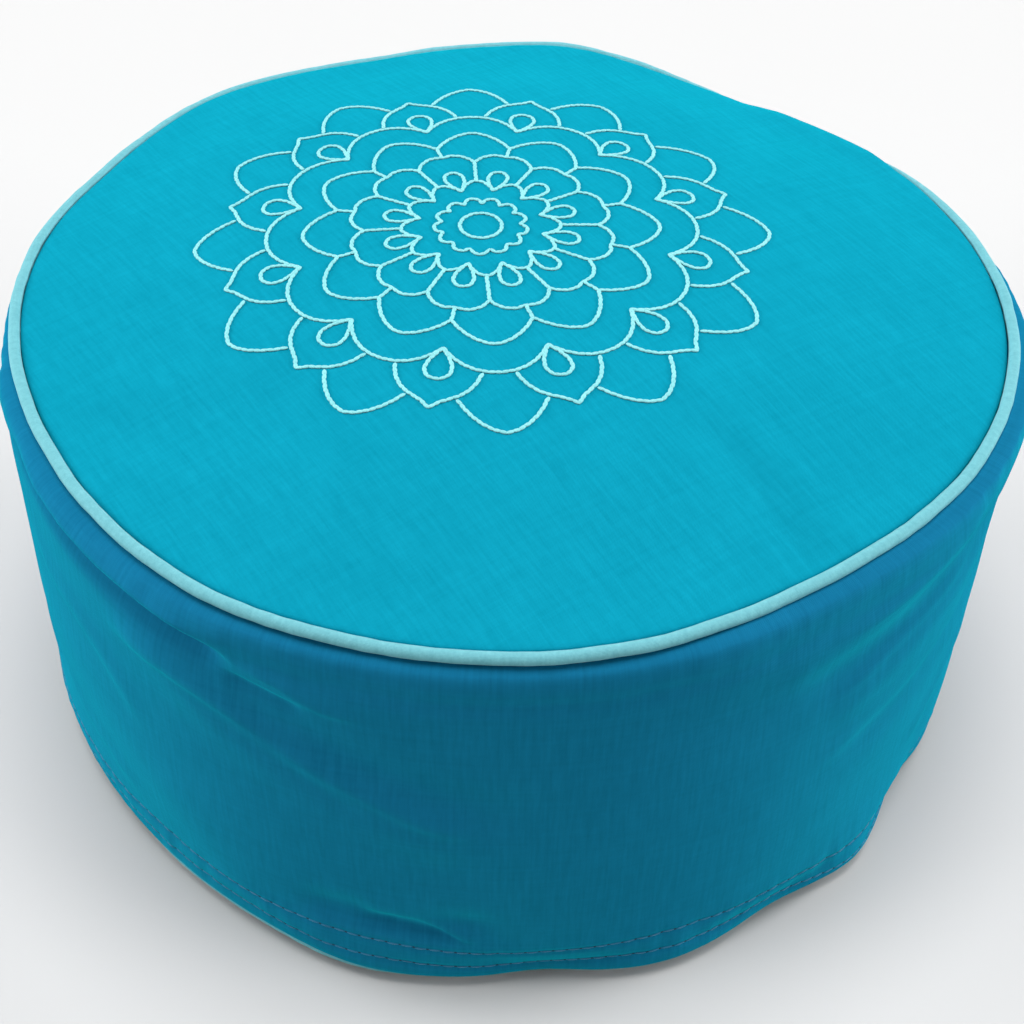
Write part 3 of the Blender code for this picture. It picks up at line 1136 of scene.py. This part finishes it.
@dataclass
class FilledSideBand:
    """The filled body, whose skin is the side band. Its crown and underside lie under the panels."""

    around: int = 288
    belly_step: float = 3.3 * MM
    seam_step: float = 1.5 * MM
    seam_zone: float = 30.0 * MM
    hidden_step: float = 18.0 * MM
    crown_start: float = 4.0 * MM
    base_end: float = 3.0 * MM
    pressure: float = 4.0
    slack: float = 0.006
    drawn_in: float = 1.2 * MM
    frames: int = 20
    evening: int = 8
    cap: float = 1.4 * MM
    stitch_pitch: float = 4.6 * MM
    stitch_size: tuple[float, float, float] = (3.864 * MM, 0.7 * MM, 0.5 * MM)
    hole_size: tuple[float, float, float] = (1.0 * MM, 0.8 * MM, 0.2 * MM)
    stitch_groove: float = 0.40 * MM
    stitch_groove_width: float = 1.3 * MM
    pucker: float = 0.30 * MM
    piping_groove: float = 1.2 * MM
    piping_groove_drop: float = 2.9 * MM
    piping_groove_width: float = 1.1 * MM
    groove_lost_to_shelf: float = 0.3

    def profile(self) -> list[ProfileRow]:
        """The skin from the middle of the crown to the middle of the base.

        Returns:
            Rows close together at the seams and further apart between them.
        """
        crown = [
            ProfileRow(radius, crown_height(radius) - UNDER_PANEL)
            for radius in np.arange(self.crown_start, PANEL_RADIUS - 6.0 * MM, self.hidden_step)
        ]
        crown.append(ProfileRow(PANEL_RADIUS, PANEL_EDGE_HEIGHT - UNDER_PANEL))
        upper = [(SEAM_RADIUS + row.reach * MM, SEAM_HEIGHT - row.away * MM) for row in UPPER_ROLL]
        lower = [(BASE_SEAM_RADIUS + row.reach * MM, BASE_SEAM_HEIGHT + row.away * MM) for row in LOWER_ROLL]
        belly = []
        for share in np.linspace(0.0, 1.0, 9)[1:-1]:
            radius = upper[-1][0] + share * (lower[0][0] - upper[-1][0]) + BELLY * math.sin(math.pi * share)
            belly.append((radius, upper[-1][1] + share * (lower[0][1] - upper[-1][1])))
        fine = smooth_course([*upper, *belly, *lower], 60)
        skin = [ProfileRow(*fine[0])]
        for radius, height in fine[1:]:
            gone = math.hypot(radius - skin[-1].radius, height - skin[-1].height)
            near_seam = min(SEAM_HEIGHT - height, height) < self.seam_zone
            if gone >= (self.seam_step if near_seam else self.belly_step):
                skin.append(ProfileRow(radius, height))
        base = [
            ProfileRow(radius, underside_height(radius) + UNDER_PANEL)
            for radius in np.arange(BASE_PANEL_RADIUS, self.base_end, -self.hidden_step)
        ]
        return [*crown, *skin, *base, ProfileRow(self.base_end, UNDER_PANEL)]

    def fill(self, band: Piece) -> None:
        """Blow the filling into the skin between its seams, and keep each point near its place.

        Args:
            band: The settled blank, whose seams stay where they are. It is first drawn in a little,
                so that the filling brings it back out to its measured size.
        """
        start = points_of(band)
        drop = SEAM_HEIGHT - start[:, 2]
        radius = np.hypot(start[:, 0], start[:, 1])
        # held at both seams and under the crown, free between them
        free = rise(drop, 5.0, 12.0) * rise(start[:, 2], 5.0, 10.0) * rise(radius - SEAM_RADIUS, -8.0, 4.0)
        set_points(band, widened(start, -self.drawn_in * free))
        seams = band.vertex_groups.new(name="seams")
        for index, share in enumerate(free):
            seams.add([index], float(1.0 - share), "REPLACE")
        cloth = band.modifiers.new("filling", "CLOTH")
        settings = cloth.settings
        settings.quality = 6
        settings.use_pressure = True
        settings.uniform_pressure_force = self.pressure
        settings.effector_weights.gravity = 0.0
        settings.shrink_min = -self.slack
        settings.vertex_group_mass = seams.name
        for number in range(1, self.frames + 1):
            bpy.context.scene.frame_set(number)
        take_up(band)
        bpy.ops.object.modifier_apply(modifier=cloth.name)
        bpy.context.scene.frame_set(1)
        band.vertex_groups.clear()
        moved = self.evened(band, points_of(band) - start)
        far = np.linalg.norm(moved, axis=1, keepdims=True)
        LOG.info("filling moved the skin by up to %.1f mm, mean %.2f mm", far.max() / MM, far.mean() / MM)
        set_points(band, start + moved * np.minimum(1.0, self.cap / np.maximum(far, 1e-9)) * free[:, None])

    def evened(self, band: Piece, moved: np.ndarray) -> np.ndarray:
        """Take the smallest ripples out of the skin's moves.

        Args:
            band: The skin.
            moved: How far each of its points has moved.

        Returns:
            The moves, each drawn towards those of its neighbours.
        """
        edges = np.array([tuple(edge.vertices) for edge in band.data.edges])
        neighbours = np.bincount(edges.ravel(), minlength=len(moved))[:, None]
        for _ in range(self.evening):
            total = np.zeros_like(moved)
            np.add.at(total, edges[:, 0], moved[edges[:, 1]])
            np.add.at(total, edges[:, 1], moved[edges[:, 0]])
            moved = 0.5 * (moved + total / np.maximum(neighbours, 1))
        return moved

    def crease(self, band: Piece) -> None:
        """Press the finer creases, the seams' puckers and the stitch grooves into the skin.

        Args:
            band: The filled skin.
        """
        points = points_of(band)
        azimuth = azimuths_of(points)
        height = points[:, 2]
        sag = SETTLING.outline(azimuth, SEAM_SAGS)
        drop = SEAM_HEIGHT - height - sag * eased(height / SEAM_HEIGHT)
        reach = np.hypot(points[:, 0], points[:, 1]) - SEAM_RADIUS - SETTLING.drift(azimuth, height)
        outside = rise(reach, -0.2, 1.6)
        # the shelf beside the piping, and the groove between them
        shelf = round_amount(azimuth, SHELF) * MM
        groove = self.piping_groove - self.groove_lost_to_shelf * shelf
        outward = SETTLING.creases(azimuth, drop, BAND_CREASES)
        outward += shelf * rise(drop, 2.9, 1.0) * (1.0 - rise(drop, 5.0, 36.0))
        outward -= groove * bell(drop - self.piping_groove_drop, self.piping_groove_width)
        # the lower edge, and what the rows of stitches draw in
        outward -= round_amount(azimuth, HEM_TUCK) * MM * (1.0 - rise(height, 5.5, 7.0))
        outward += self.pucker * PUCKERS.ripple(azimuth) * bell(drop - 5.0 * MM, 4.0 * MM)
        outward += self.pucker * PUCKERS.ripple(azimuth + 40.0) * bell(height - 19.0 * MM, 8.0 * MM)
        upper = round_amount(azimuth, UPPER_STITCHES) * MM
        for row in (upper, upper - STITCH_ROWS_APART):
            outward -= self.stitch_groove * bell(height - row, self.stitch_groove_width)
        outward *= outside * rise(drop, 1.2, 1.4) * rise(height, 0.0, 4.0)
        lift = round_amount(azimuth, SHELF_LIFT) * MM * outside
        lift *= rise(drop, 1.4, 1.2) * (1.0 - rise(drop, 4.5, 9.0))
        points = widened(points, outward)
        points[:, 2] += lift
        set_points(band, points)

    def build(self) -> Piece:
        """Build the filled body.

        Returns:
            The padded piece.
        """
        rows = self.profile()
        band = turned("filled_side_band_cloth", rows, self.around)
        set_points(band, SETTLING.settle(points_of(band)))
        self.fill(band)
        finish_with(band, "SUBSURF", levels=1, render_levels=1)
        close_end(band, rows[0])
        close_end(band, rows[-1])
        self.crease(band)
        dressed(band, BAND_CANVAS.material())
        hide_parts("filled_side_band")
        told(band)
        return band

    def topstitch(self, band: Piece) -> None:
        """Sew the two rows of stitches near the lower edge, and paint the shade of a needle hole after each
        stitch.

        Args:
            band: The finished skin.
        """
        skin = surface_of(band)
        count = round(math.tau * (BASE_SEAM_RADIUS + 5.0 * MM) / self.stitch_pitch)
        azimuth = np.arange(2 * count) * 180.0 / count
        upper = round_amount(azimuth, UPPER_STITCHES) * MM
        stitches, holes = [], []
        for row in (upper, upper - STITCH_ROWS_APART):
            for index, (angle, height) in enumerate(zip(np.radians(azimuth), row)):
                outward = Vector((math.cos(angle), math.sin(angle), 0.0))
                start = outward * NEEDLE_START + Vector((0.0, 0.0, height))
                spot, normal, _, _ = skin.ray_cast(start, -outward)
                along = Vector((-outward.y, outward.x, 0.0))
                kind, lift = (holes, 0.02) if index % 2 else (stitches, 0.06)
                kind.append(laid_on(spot, normal, along, lift * MM))
        stitch = modelled_stitch(*self.stitch_size)
        rows = sewn_copies("lower_edge_topstitches", stitch, stitches)
        told(dressed(rows, TEAL_THREAD.material()))
        # a small dark lens, painted shade in each needle hole
        hole = modelled_stitch(*self.hole_size)
        hole_shades = sewn_copies("lower_edge_needle_hole_shade", hole, holes)
        told(dressed(hole_shades, NEEDLE_HOLE_SHADE.material()))


def laid_on(spot: Vector, normal: Vector, along: Vector, lift: float, twist: float = 0.0) -> Matrix:
    """Where a stitch lies on cloth.

    Args:
        spot: The place on the cloth.
        normal: The cloth's outward direction there.
        along: Which way the stitch runs.
        lift: How far its middle stands over the cloth.
        twist: An extra turn about the normal, in radians.

    Returns:
        The stitch's matrix.
    """
    across = normal.cross(along).normalized()
    forward = across.cross(normal).normalized()
    turned_forward = forward * math.cos(twist) + across * math.sin(twist)
    turned_across = normal.cross(turned_forward)
    place = Matrix((turned_forward, turned_across, normal)).transposed().to_4x4()
    place.translation = spot + normal * lift
    return place


def crown_height(radius: float) -> float:
    """Height of the top panel's face over the floor, before it settles."""
    return PANEL_EDGE_HEIGHT + CROWN * (1.0 - (radius / PANEL_RADIUS) ** CROWN_POWER)


def underside_height(radius: float) -> float:
    """Height of the bottom panel's face over the floor, before it settles."""
    share = max(0.0, (radius - FLAT_RADIUS) / (BASE_PANEL_RADIUS - FLAT_RADIUS))
    return BASE_EDGE_RISE * share**2


@dataclass
class TopPanel:
    """The round top, stretched over the filling and sewn down beside the piping."""

    around: int = 360
    ring_step: float = 2.5 * MM
    cloth: float = 0.9 * MM
    pucker_height: float = 0.22 * MM
    pucker_reach: float = 9.0 * MM
    swell_reach: float = 8.0 * MM
    swell_slope: float = 0.70
    edge_end: float = PANEL_RADIUS + 0.4 * MM
    hull_bumps: float = 0.14 * MM
    cut_diameter: float = 0.326

    def profile(self) -> list[ProfileRow]:
        """The face from the middle to where it turns down into the seam."""
        radii = [*np.arange(2.5 * MM, 160.0 * MM, self.ring_step), 160.4 * MM, 161.6 * MM]
        rows = [ProfileRow(radius, crown_height(radius)) for radius in radii]
        for outward, down in ((-0.15, 0.10), (0.25, 0.7), (0.35, 1.5)):
            rows.append(ProfileRow(PANEL_RADIUS + outward * MM, PANEL_EDGE_HEIGHT - down * MM))
        return rows

    def build(self) -> Piece:
        """Build the panel.

        Returns:
            The sheet of cloth.
        """
        rows = self.profile()
        panel = turned("top_panel_cloth", rows, self.around)
        close_end(panel, rows[0])
        points = points_of(panel)
        radius = np.hypot(points[:, 0], points[:, 1])
        points = SETTLING.settle(points)
        azimuth = azimuths_of(points)
        inside = (PANEL_RADIUS - radius) / self.pucker_reach
        puckers = PUCKERS.ripple(azimuth) * bell(inside, 1.0) * eased(inside * 4.0)
        points[:, 2] += self.pucker_height * puckers
        points[:, 2] += self.slackness(points) + SETTLING.top_folds(points[:, 0], points[:, 1])
        points += self.rim_swell(azimuth, radius)
        set_points(panel, points)
        if panel.data.polygons[0].normal.z < 0.0:
            panel.data.flip_normals()
        finish_with(panel, "SOLIDIFY", thickness=self.cloth, offset=-1.0)
        dressed(panel, TOP_CANVAS.material())
        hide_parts("top_panel")
        told(panel)
        return panel

    def rim_swell(self, azimuth: np.ndarray, radius: np.ndarray) -> np.ndarray:
        """How the panel swells up and out beside the piping.

        Args:
            azimuth: Azimuths in degrees.
            radius: Distances from the axis before settling.

        Returns:
            Moves, one row for each point.
        """
        strength = round_amount(azimuth, RIM_SWELL) * MM * rise(self.edge_end - radius, 0.0, 0.9)
        strength *= self.swell_slope * bell(radius - 161.0 * MM, self.swell_reach)
        turn = np.radians(azimuth)
        return np.stack((np.cos(turn), np.sin(turn), np.ones(len(turn))), axis=1) * strength[:, None]

    def slackness(self, points: np.ndarray) -> np.ndarray:
        """The faint unevenness of a filling of buckwheat hulls under stretched cloth.

        Args:
            points: Places on the panel.

        Returns:
            Lifts in metres, none at the seam.
        """
        x, y = points[:, 0] / MM, points[:, 1] / MM
        waves = np.sin(x / 11.0 + 1.7) * np.sin(y / 13.0 - 0.6)
        waves += 0.7 * np.sin((x + y) / 8.3) * np.sin((x - y) / 10.1 + 2.0)
        edge = rise(PANEL_RADIUS - np.hypot(points[:, 0], points[:, 1]), 0.0, 18.0)
        return self.hull_bumps * waves * edge


@dataclass
class BottomPanel:
    """The round underside, flat where it rests and rising to its seam."""

    around: int = 240
    ring_step: float = 7.0 * MM
    cloth: float = 0.9 * MM
    cut_diameter: float = 0.327

    def build(self, body: Piece) -> Piece:
        """Build the panel.

        Args:
            body: The filled body over it. It is not used.

        Returns:
            The sheet of cloth.
        """
        flat = np.arange(4.0 * MM, FLAT_RADIUS, self.ring_step)
        rim = np.arange(FLAT_RADIUS, BASE_PANEL_RADIUS, 1.5 * MM)
        rows = [ProfileRow(radius, underside_height(radius)) for radius in (*flat, *rim, BASE_PANEL_RADIUS)]
        rows.append(ProfileRow(BASE_PANEL_RADIUS + 0.3 * MM, BASE_EDGE_RISE + 0.9 * MM))
        panel = turned("bottom_panel_cloth", rows, self.around)
        close_end(panel, rows[0])
        set_points(panel, SETTLING.settle(points_of(panel)))
        if panel.data.polygons[0].normal.z > 0.0:
            panel.data.flip_normals()
        finish_with(panel, "SOLIDIFY", thickness=self.cloth, offset=-1.0)
        dressed(panel, BASE_CANVAS.material())
        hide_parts("bottom_panel")
        told(panel)
        return panel


@dataclass
class PipingCord:
    """A cord wrapped in bias-cut cloth and sewn into a seam."""

    name: str
    node: str
    seam_radius: float
    seam_height: float
    stands_out: tuple[RoundRow, ...] = (RoundRow(0.0, 0.0), RoundRow(180.0, 0.0))
    lies_low: tuple[RoundRow, ...] = (RoundRow(0.0, 0.0), RoundRow(180.0, 0.0))
    around: int = 256
    cord_sides: int = 12
    wander: float = 0.16 * MM
    swelling: float = 0.09 * MM

    def build(self) -> Piece:
        """Build the piping.

        Returns:
            The cord.
        """
        deselect_all()
        bpy.ops.mesh.primitive_torus_add(
            major_radius=self.seam_radius,
            minor_radius=PIPING_RADIUS,
            major_segments=self.around,
            minor_segments=self.cord_sides,
            generate_uvs=True,
        )
        cord = named(self.name)
        finish_with(cord, "SUBSURF", levels=1, render_levels=1)
        points = points_of(cord)
        azimuth = azimuths_of(points)
        turn = np.radians(azimuth)
        away = np.stack((np.cos(turn), np.sin(turn), np.zeros(len(turn))), axis=1)
        middle = away * self.seam_radius
        offset = points - middle
        offset *= PIPING_RADIUS / np.linalg.norm(offset, axis=1, keepdims=True)
        offset *= 1.0 + self.swelling / PIPING_RADIUS * PUCKERS.ripple(azimuth + 11.0)[:, None]
        middle[:, 2] = self.seam_height
        middle = SETTLING.settle(middle)
        outward = self.wander * np.sin(23 * turn + 0.8) * np.sin(9 * turn)
        outward += round_amount(azimuth, self.stands_out) * MM
        middle += away * outward[:, None]
        middle[:, 2] += self.wander * np.sin(31 * turn) * np.cos(5 * turn)
        middle[:, 2] -= round_amount(azimuth, self.lies_low) * MM
        set_points(cord, middle + offset)
        dressed(cord, AQUA_PIPING.material())
        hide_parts(self.node)
        told(cord)
        return cord


Stroke = np.ndarray


@dataclass
class LotusRosette:
    """The traditional twelve-petalled lotus rosette embroidered on the top, drawn ring by ring.

    Radii are in millimetres from the rosette's centre. Strokes are drawn in the petal's own plan,
    with X across it and Y outwards, and turned to each petal's place. The radii, and the six points of
    a front petal's flank, were read off the photograph. The pull is rounded from a fit to it.
    """

    centre: tuple[float, float] = (-8.7, 16.2)
    first_petal: float = 110.4
    petals: int = 12
    disc: float = 7.4
    sun_points: int = 13
    sun_radii: tuple[float, float] = (13.3, 16.6)
    inner_ring: tuple[float, float] = (21.9, 28.2)
    small_drop: tuple[float, float, float] = (22.2, 34.8, 3.5)
    lobe: tuple[float, float] = (41.0, 46.4)
    round_petal: tuple[float, float] = (52.0, 62.6)
    scallop: tuple[float, float] = (65.5, 75.4)
    large_drop: tuple[float, float, float] = (65.9, 79.6, 4.5)
    front_petal: tuple[tuple[float, float], ...] = (
        (14.3, 74.7), (13.0, 79.8), (10.2, 84.4), (6.6, 87.3), (3.1, 89.4), (0.0, 92.3),
    )
    back_petal: tuple[float, float] = (100.8, 9.4)
    pull_x: tuple[float, ...] = (-1.3, -1.9, -0.5, 1.3, 0.55, 1.9)
    pull_y: tuple[float, ...] = (0.6, -1.25, 1.2, -3.05, -2.1, -1.5)
    stitch: float = 2.1 * MM
    thread: float = 1.45 * MM
    stitch_overlap: float = 1.42
    stitch_flatness: float = 0.55
    stitch_lift: float = 0.24 * MM
    stitch_twist: float = 0.10

    @property
    def half(self) -> float:
        """Half of a petal's angle, in degrees."""
        return 180.0 / self.petals

    def at(self, angle: np.ndarray | float, radius: np.ndarray | float) -> Stroke:
        """Points of a petal's plan from angles off its middle line and radii."""
        turn = np.radians(angle)
        return np.stack(np.broadcast_arrays(radius * np.sin(turn), radius * np.cos(turn)), axis=-1)

    def cusped_arc(self, radii: tuple[float, float], roundness: float) -> Stroke:
        """An arc from the cusp on a petal's middle line to the cusp on the next one's.

        Args:
            radii: At the cusps and at the top of the arc.
            roundness: How soon the arc rises from a cusp.

        Returns:
            The stroke.
        """
        angle = np.linspace(0.0, 2 * self.half, 33)
        share = 1.0 - np.abs(angle / self.half - 1.0)
        return self.at(angle, radii[0] + (radii[1] - radii[0]) * (1.0 - (1.0 - share) ** roundness))

    def teardrop(self, foot: float, head: float, half_width: float) -> Stroke:
        """A drop that stands on a cusp.

        Args:
            foot: Radius of its pointed end.
            head: Radius of its round end.
            half_width: Half of its width.

        Returns:
            The closed stroke.
        """
        turn = np.linspace(0.0, math.tau, 41)
        width = half_width / 0.77 * np.sin(turn) * np.sin(turn / 2)
        return np.stack((width, foot + (head - foot) * (1.0 - np.cos(turn)) / 2), axis=1)

    def petal_strokes(self) -> list[Stroke]:
        """The strokes that repeat with each petal."""
        half = self.half
        angle = np.linspace(-half, half, 31)
        low, high = self.lobe
        lobe = self.at(angle, high - (high - low) * np.abs(angle / half) ** 3 - 0.9 * bell(angle, 2.4))
        flank = smooth_course(self.front_petal, 6)
        tip, spread = self.back_petal
        offset = np.linspace(-spread, spread, 33)
        arch = self.at(half + offset, tip - 0.3 * np.abs(offset) - 0.112 * offset**2)
        return [
            self.cusped_arc(self.inner_ring, 1.7),
            self.teardrop(*self.small_drop),
            self.at(half, np.linspace(self.inner_ring[1], low, 8)),
            lobe,
            self.at(0.0, np.linspace(high - 0.9, self.round_petal[0], 4)),
            self.cusped_arc(self.round_petal, 1.6),
            self.cusped_arc(self.scallop, 2.2),
            self.teardrop(*self.large_drop),
            flank,
            flank * (-1.0, 1.0),
            arch,
        ]

    def heart_strokes(self) -> list[Stroke]:
        """The disc and the little sun round it."""
        turn = np.linspace(0.0, math.tau, 49)
        disc = self.disc * np.stack((np.cos(turn), np.sin(turn)), axis=1)
        turn = np.linspace(0.0, math.tau, self.sun_points * 8 + 1)
        share = np.abs(np.sin(self.sun_points * turn / 2.0)) ** 0.6
        low, high = self.sun_radii
        radius = low + (high - low) * share
        sun = radius[:, None] * np.stack((np.cos(turn + math.pi / 2), np.sin(turn + math.pi / 2)), axis=1)
        return [disc, sun]

    def strokes(self) -> list[Stroke]:
        """All strokes, in plan and in metres."""
        found = self.heart_strokes()
        for number in range(self.petals):
            turn = math.radians(self.first_petal - 90.0 - number * 2 * self.half)
            spin = np.array(((math.cos(turn), math.sin(turn)), (-math.sin(turn), math.cos(turn))))
            found += [stroke @ spin for stroke in self.petal_strokes()]
        return [(self.pulled(stroke) + self.centre) * MM for stroke in found]

    def pulled(self, stroke: Stroke) -> Stroke:
        """Pull a stroke out of true, to where the photograph shows the stretched top's sewing.

        Args:
            stroke: Points from the rosette's centre, in millimetres.

        Returns:
            The moved points. The pull has a part that is the same all over, two that grow with the
            distance along X and Y, and three that grow with its square.
        """
        x, y = stroke.T / 100.0
        growth = np.stack((np.ones(len(x)), x, y, x * x, x * y, y * y), axis=1)
        return stroke + growth @ np.stack((self.pull_x, self.pull_y), axis=1)

    def needle_points(self, stroke: Stroke) -> np.ndarray:
        """Divide a stroke into stitches of even length.

        Args:
            stroke: Its points in plan.

        Returns:
            The needle's points, with both ends.
        """
        lengths = np.hypot(*np.diff(stroke, axis=0).T)
        passed = np.concatenate(((0.0,), np.cumsum(lengths)))
        count = max(1, round(passed[-1] / self.stitch))
        marks = np.linspace(0.0, passed[-1], count + 1)
        return np.stack([np.interp(marks, passed, stroke[:, axis]) for axis in (0, 1)], axis=1)

    def build(self, panel: Piece) -> Piece:
        """Embroider the rosette on the top panel.

        Args:
            panel: The finished panel.

        Returns:
            The embroidery.
        """
        cloth = surface_of(panel)
        down = Vector((0.0, 0.0, -1.0))
        places = []
        for stroke in self.strokes():
            marks = self.needle_points(stroke)
            for index, (start, end) in enumerate(pairwise(marks)):
                middle = (start + end) / 2
                spot, normal, _, _ = cloth.ray_cast(Vector((*middle, NEEDLE_START)), down)
                along = Vector((*(end - start), 0.0))
                twist = self.stitch_twist if index % 2 else -self.stitch_twist
                place = laid_on(spot, normal, along, self.stitch_lift, twist)
                places.append(place @ Matrix.Diagonal((along.length / self.stitch, 1.0, 1.0, 1.0)))
        length, height = self.stitch * self.stitch_overlap, self.thread * self.stitch_flatness
        stitch = modelled_stitch(length, self.thread, height)
        rosette = sewn_copies("lotus_rosette_embroidery", stitch, places)
        told(dressed(rosette, AQUA_THREAD.material()))
        return rosette


# Studio


@dataclass(frozen=True)
class SoftLight:
    """A broad soft light, as even over the whole floor as it is over the cushion."""

    name: str
    place: tuple[float, float, float]
    strength: float
    spread: float = 30.0
    aim: tuple[float, float, float] = (0.0, 0.0, 0.09)

    def hang(self) -> None:
        """Hang the light and aim it."""
        deselect_all()
        bpy.ops.object.light_add(type="SUN", location=self.place)
        lamp = bpy.context.object
        lamp.name = lamp.data.name = self.name
        lamp.data.energy = self.strength
        lamp.data.angle = math.radians(self.spread)
        aim = Vector(self.aim) - Vector(self.place)
        lamp.rotation_euler = aim.to_track_quat("-Z", "Y").to_euler()


@dataclass
class Studio:
    """Plain pale floor, plain soft light, and the camera at the photograph's angle."""

    floor_radius: float = 7.0
    aim: tuple[float, float, float] = (3.7 * MM, -107.0 * MM, SEAM_HEIGHT)
    distance: float = 541.9 * MM
    look_down: float = 43.946
    roll: float = 1.776
    lens: float = 63.63
    sensor: float = 36.0
    nearest: float = 0.01
    lights: list[SoftLight] = field(
        default_factory=lambda: [
            SoftLight("ceiling_light", (0.0, 0.10, 2.40), 3.70, 35.0),
            SoftLight("rear_left_light", (-1.30, 0.55, 0.60), 2.8),
            SoftLight("rear_right_light", (1.30, 0.55, 0.60), 3.0),
            SoftLight("front_left_light", (-1.50, -0.35, 0.45), 2.5),
            SoftLight("front_right_light", (1.50, -0.35, 0.45), 2.2),
        ]
    )
    room_light: float = 0.01
    backdrop: float = 0.95
    backdrop_colour: Colour = (0.97, 0.985, 1.0)

    def lay_floor(self) -> None:
        """Lay the floor under the cushion."""
        deselect_all()
        bpy.ops.mesh.primitive_circle_add(vertices=96, radius=self.floor_radius, fill_type="NGON")
        floor = named("pale_floor")
        floor.data.materials.append(FloorFinish().material())

    def light(self) -> None:
        """Hang the lights, and give the room a backdrop that is far paler to see than it is as a light."""
        for light in self.lights:
            light.hang()
        world = bpy.data.worlds.new("pale_room")
        world.use_nodes = True
        nodes, links = world.node_tree.nodes, world.node_tree.links
        background = nodes["Background"]
        background.inputs["Color"].default_value = (*self.backdrop_colour, 1.0)
        strength = nodes.new("ShaderNodeMapRange")
        strength.inputs["To Min"].default_value = self.room_light
        strength.inputs["To Max"].default_value = self.backdrop
        links.new(nodes.new("ShaderNodeLightPath").outputs["Is Camera Ray"], strength.inputs["Value"])
        links.new(strength.outputs["Result"], background.inputs["Strength"])
        bpy.context.scene.world = world

    def set_camera(self) -> None:
        """Place the camera where the photograph was taken from."""
        deselect_all()
        down = math.radians(self.look_down)
        forward = Vector((0.0, math.cos(down), -math.sin(down)))
        tilt = Matrix.Rotation(math.pi / 2 - down, 3, "X")
        turn = (tilt @ Matrix.Rotation(math.radians(self.roll), 3, "Z")).to_euler()
        bpy.ops.object.camera_add(location=Vector(self.aim) - forward * self.distance, rotation=turn)
        camera = bpy.context.object
        camera.name = "photograph_camera"
        camera.data.sensor_width = self.sensor
        camera.data.lens = self.lens
        camera.data.clip_start = self.nearest
        bpy.context.scene.camera = camera

    def build(self) -> None:
        """Set up the whole studio."""
        self.lay_floor()
        self.light()
        self.set_camera()
        bpy.context.scene.view_settings.view_transform = "Standard"
        LOG.info("studio: floor, %d lights and camera", len(self.lights))


def main() -> None:
    """Build the studio and the cushion, from the filled body outwards."""
    logging.basicConfig(level=logging.INFO, format="%(relativeCreated)7.0f ms  %(message)s")
    Studio().build()
    body = FilledSideBand()
    band = body.build()
    body.topstitch(band)
    top = TopPanel()
    panel = top.build()
    rosette = LotusRosette().build(panel)
    BottomPanel().build(band)
    PipingCord("top_piping_cord", "top_piping", SEAM_RADIUS, SEAM_HEIGHT, lies_low=HIDDEN_PIPING).build()
    PipingCord(
        "bottom_piping_cord", "bottom_piping", BASE_SEAM_RADIUS, BASE_SEAM_HEIGHT, stands_out=LOWER_PIPING_OUT
    ).build()


if __name__ == "__main__":
    main()
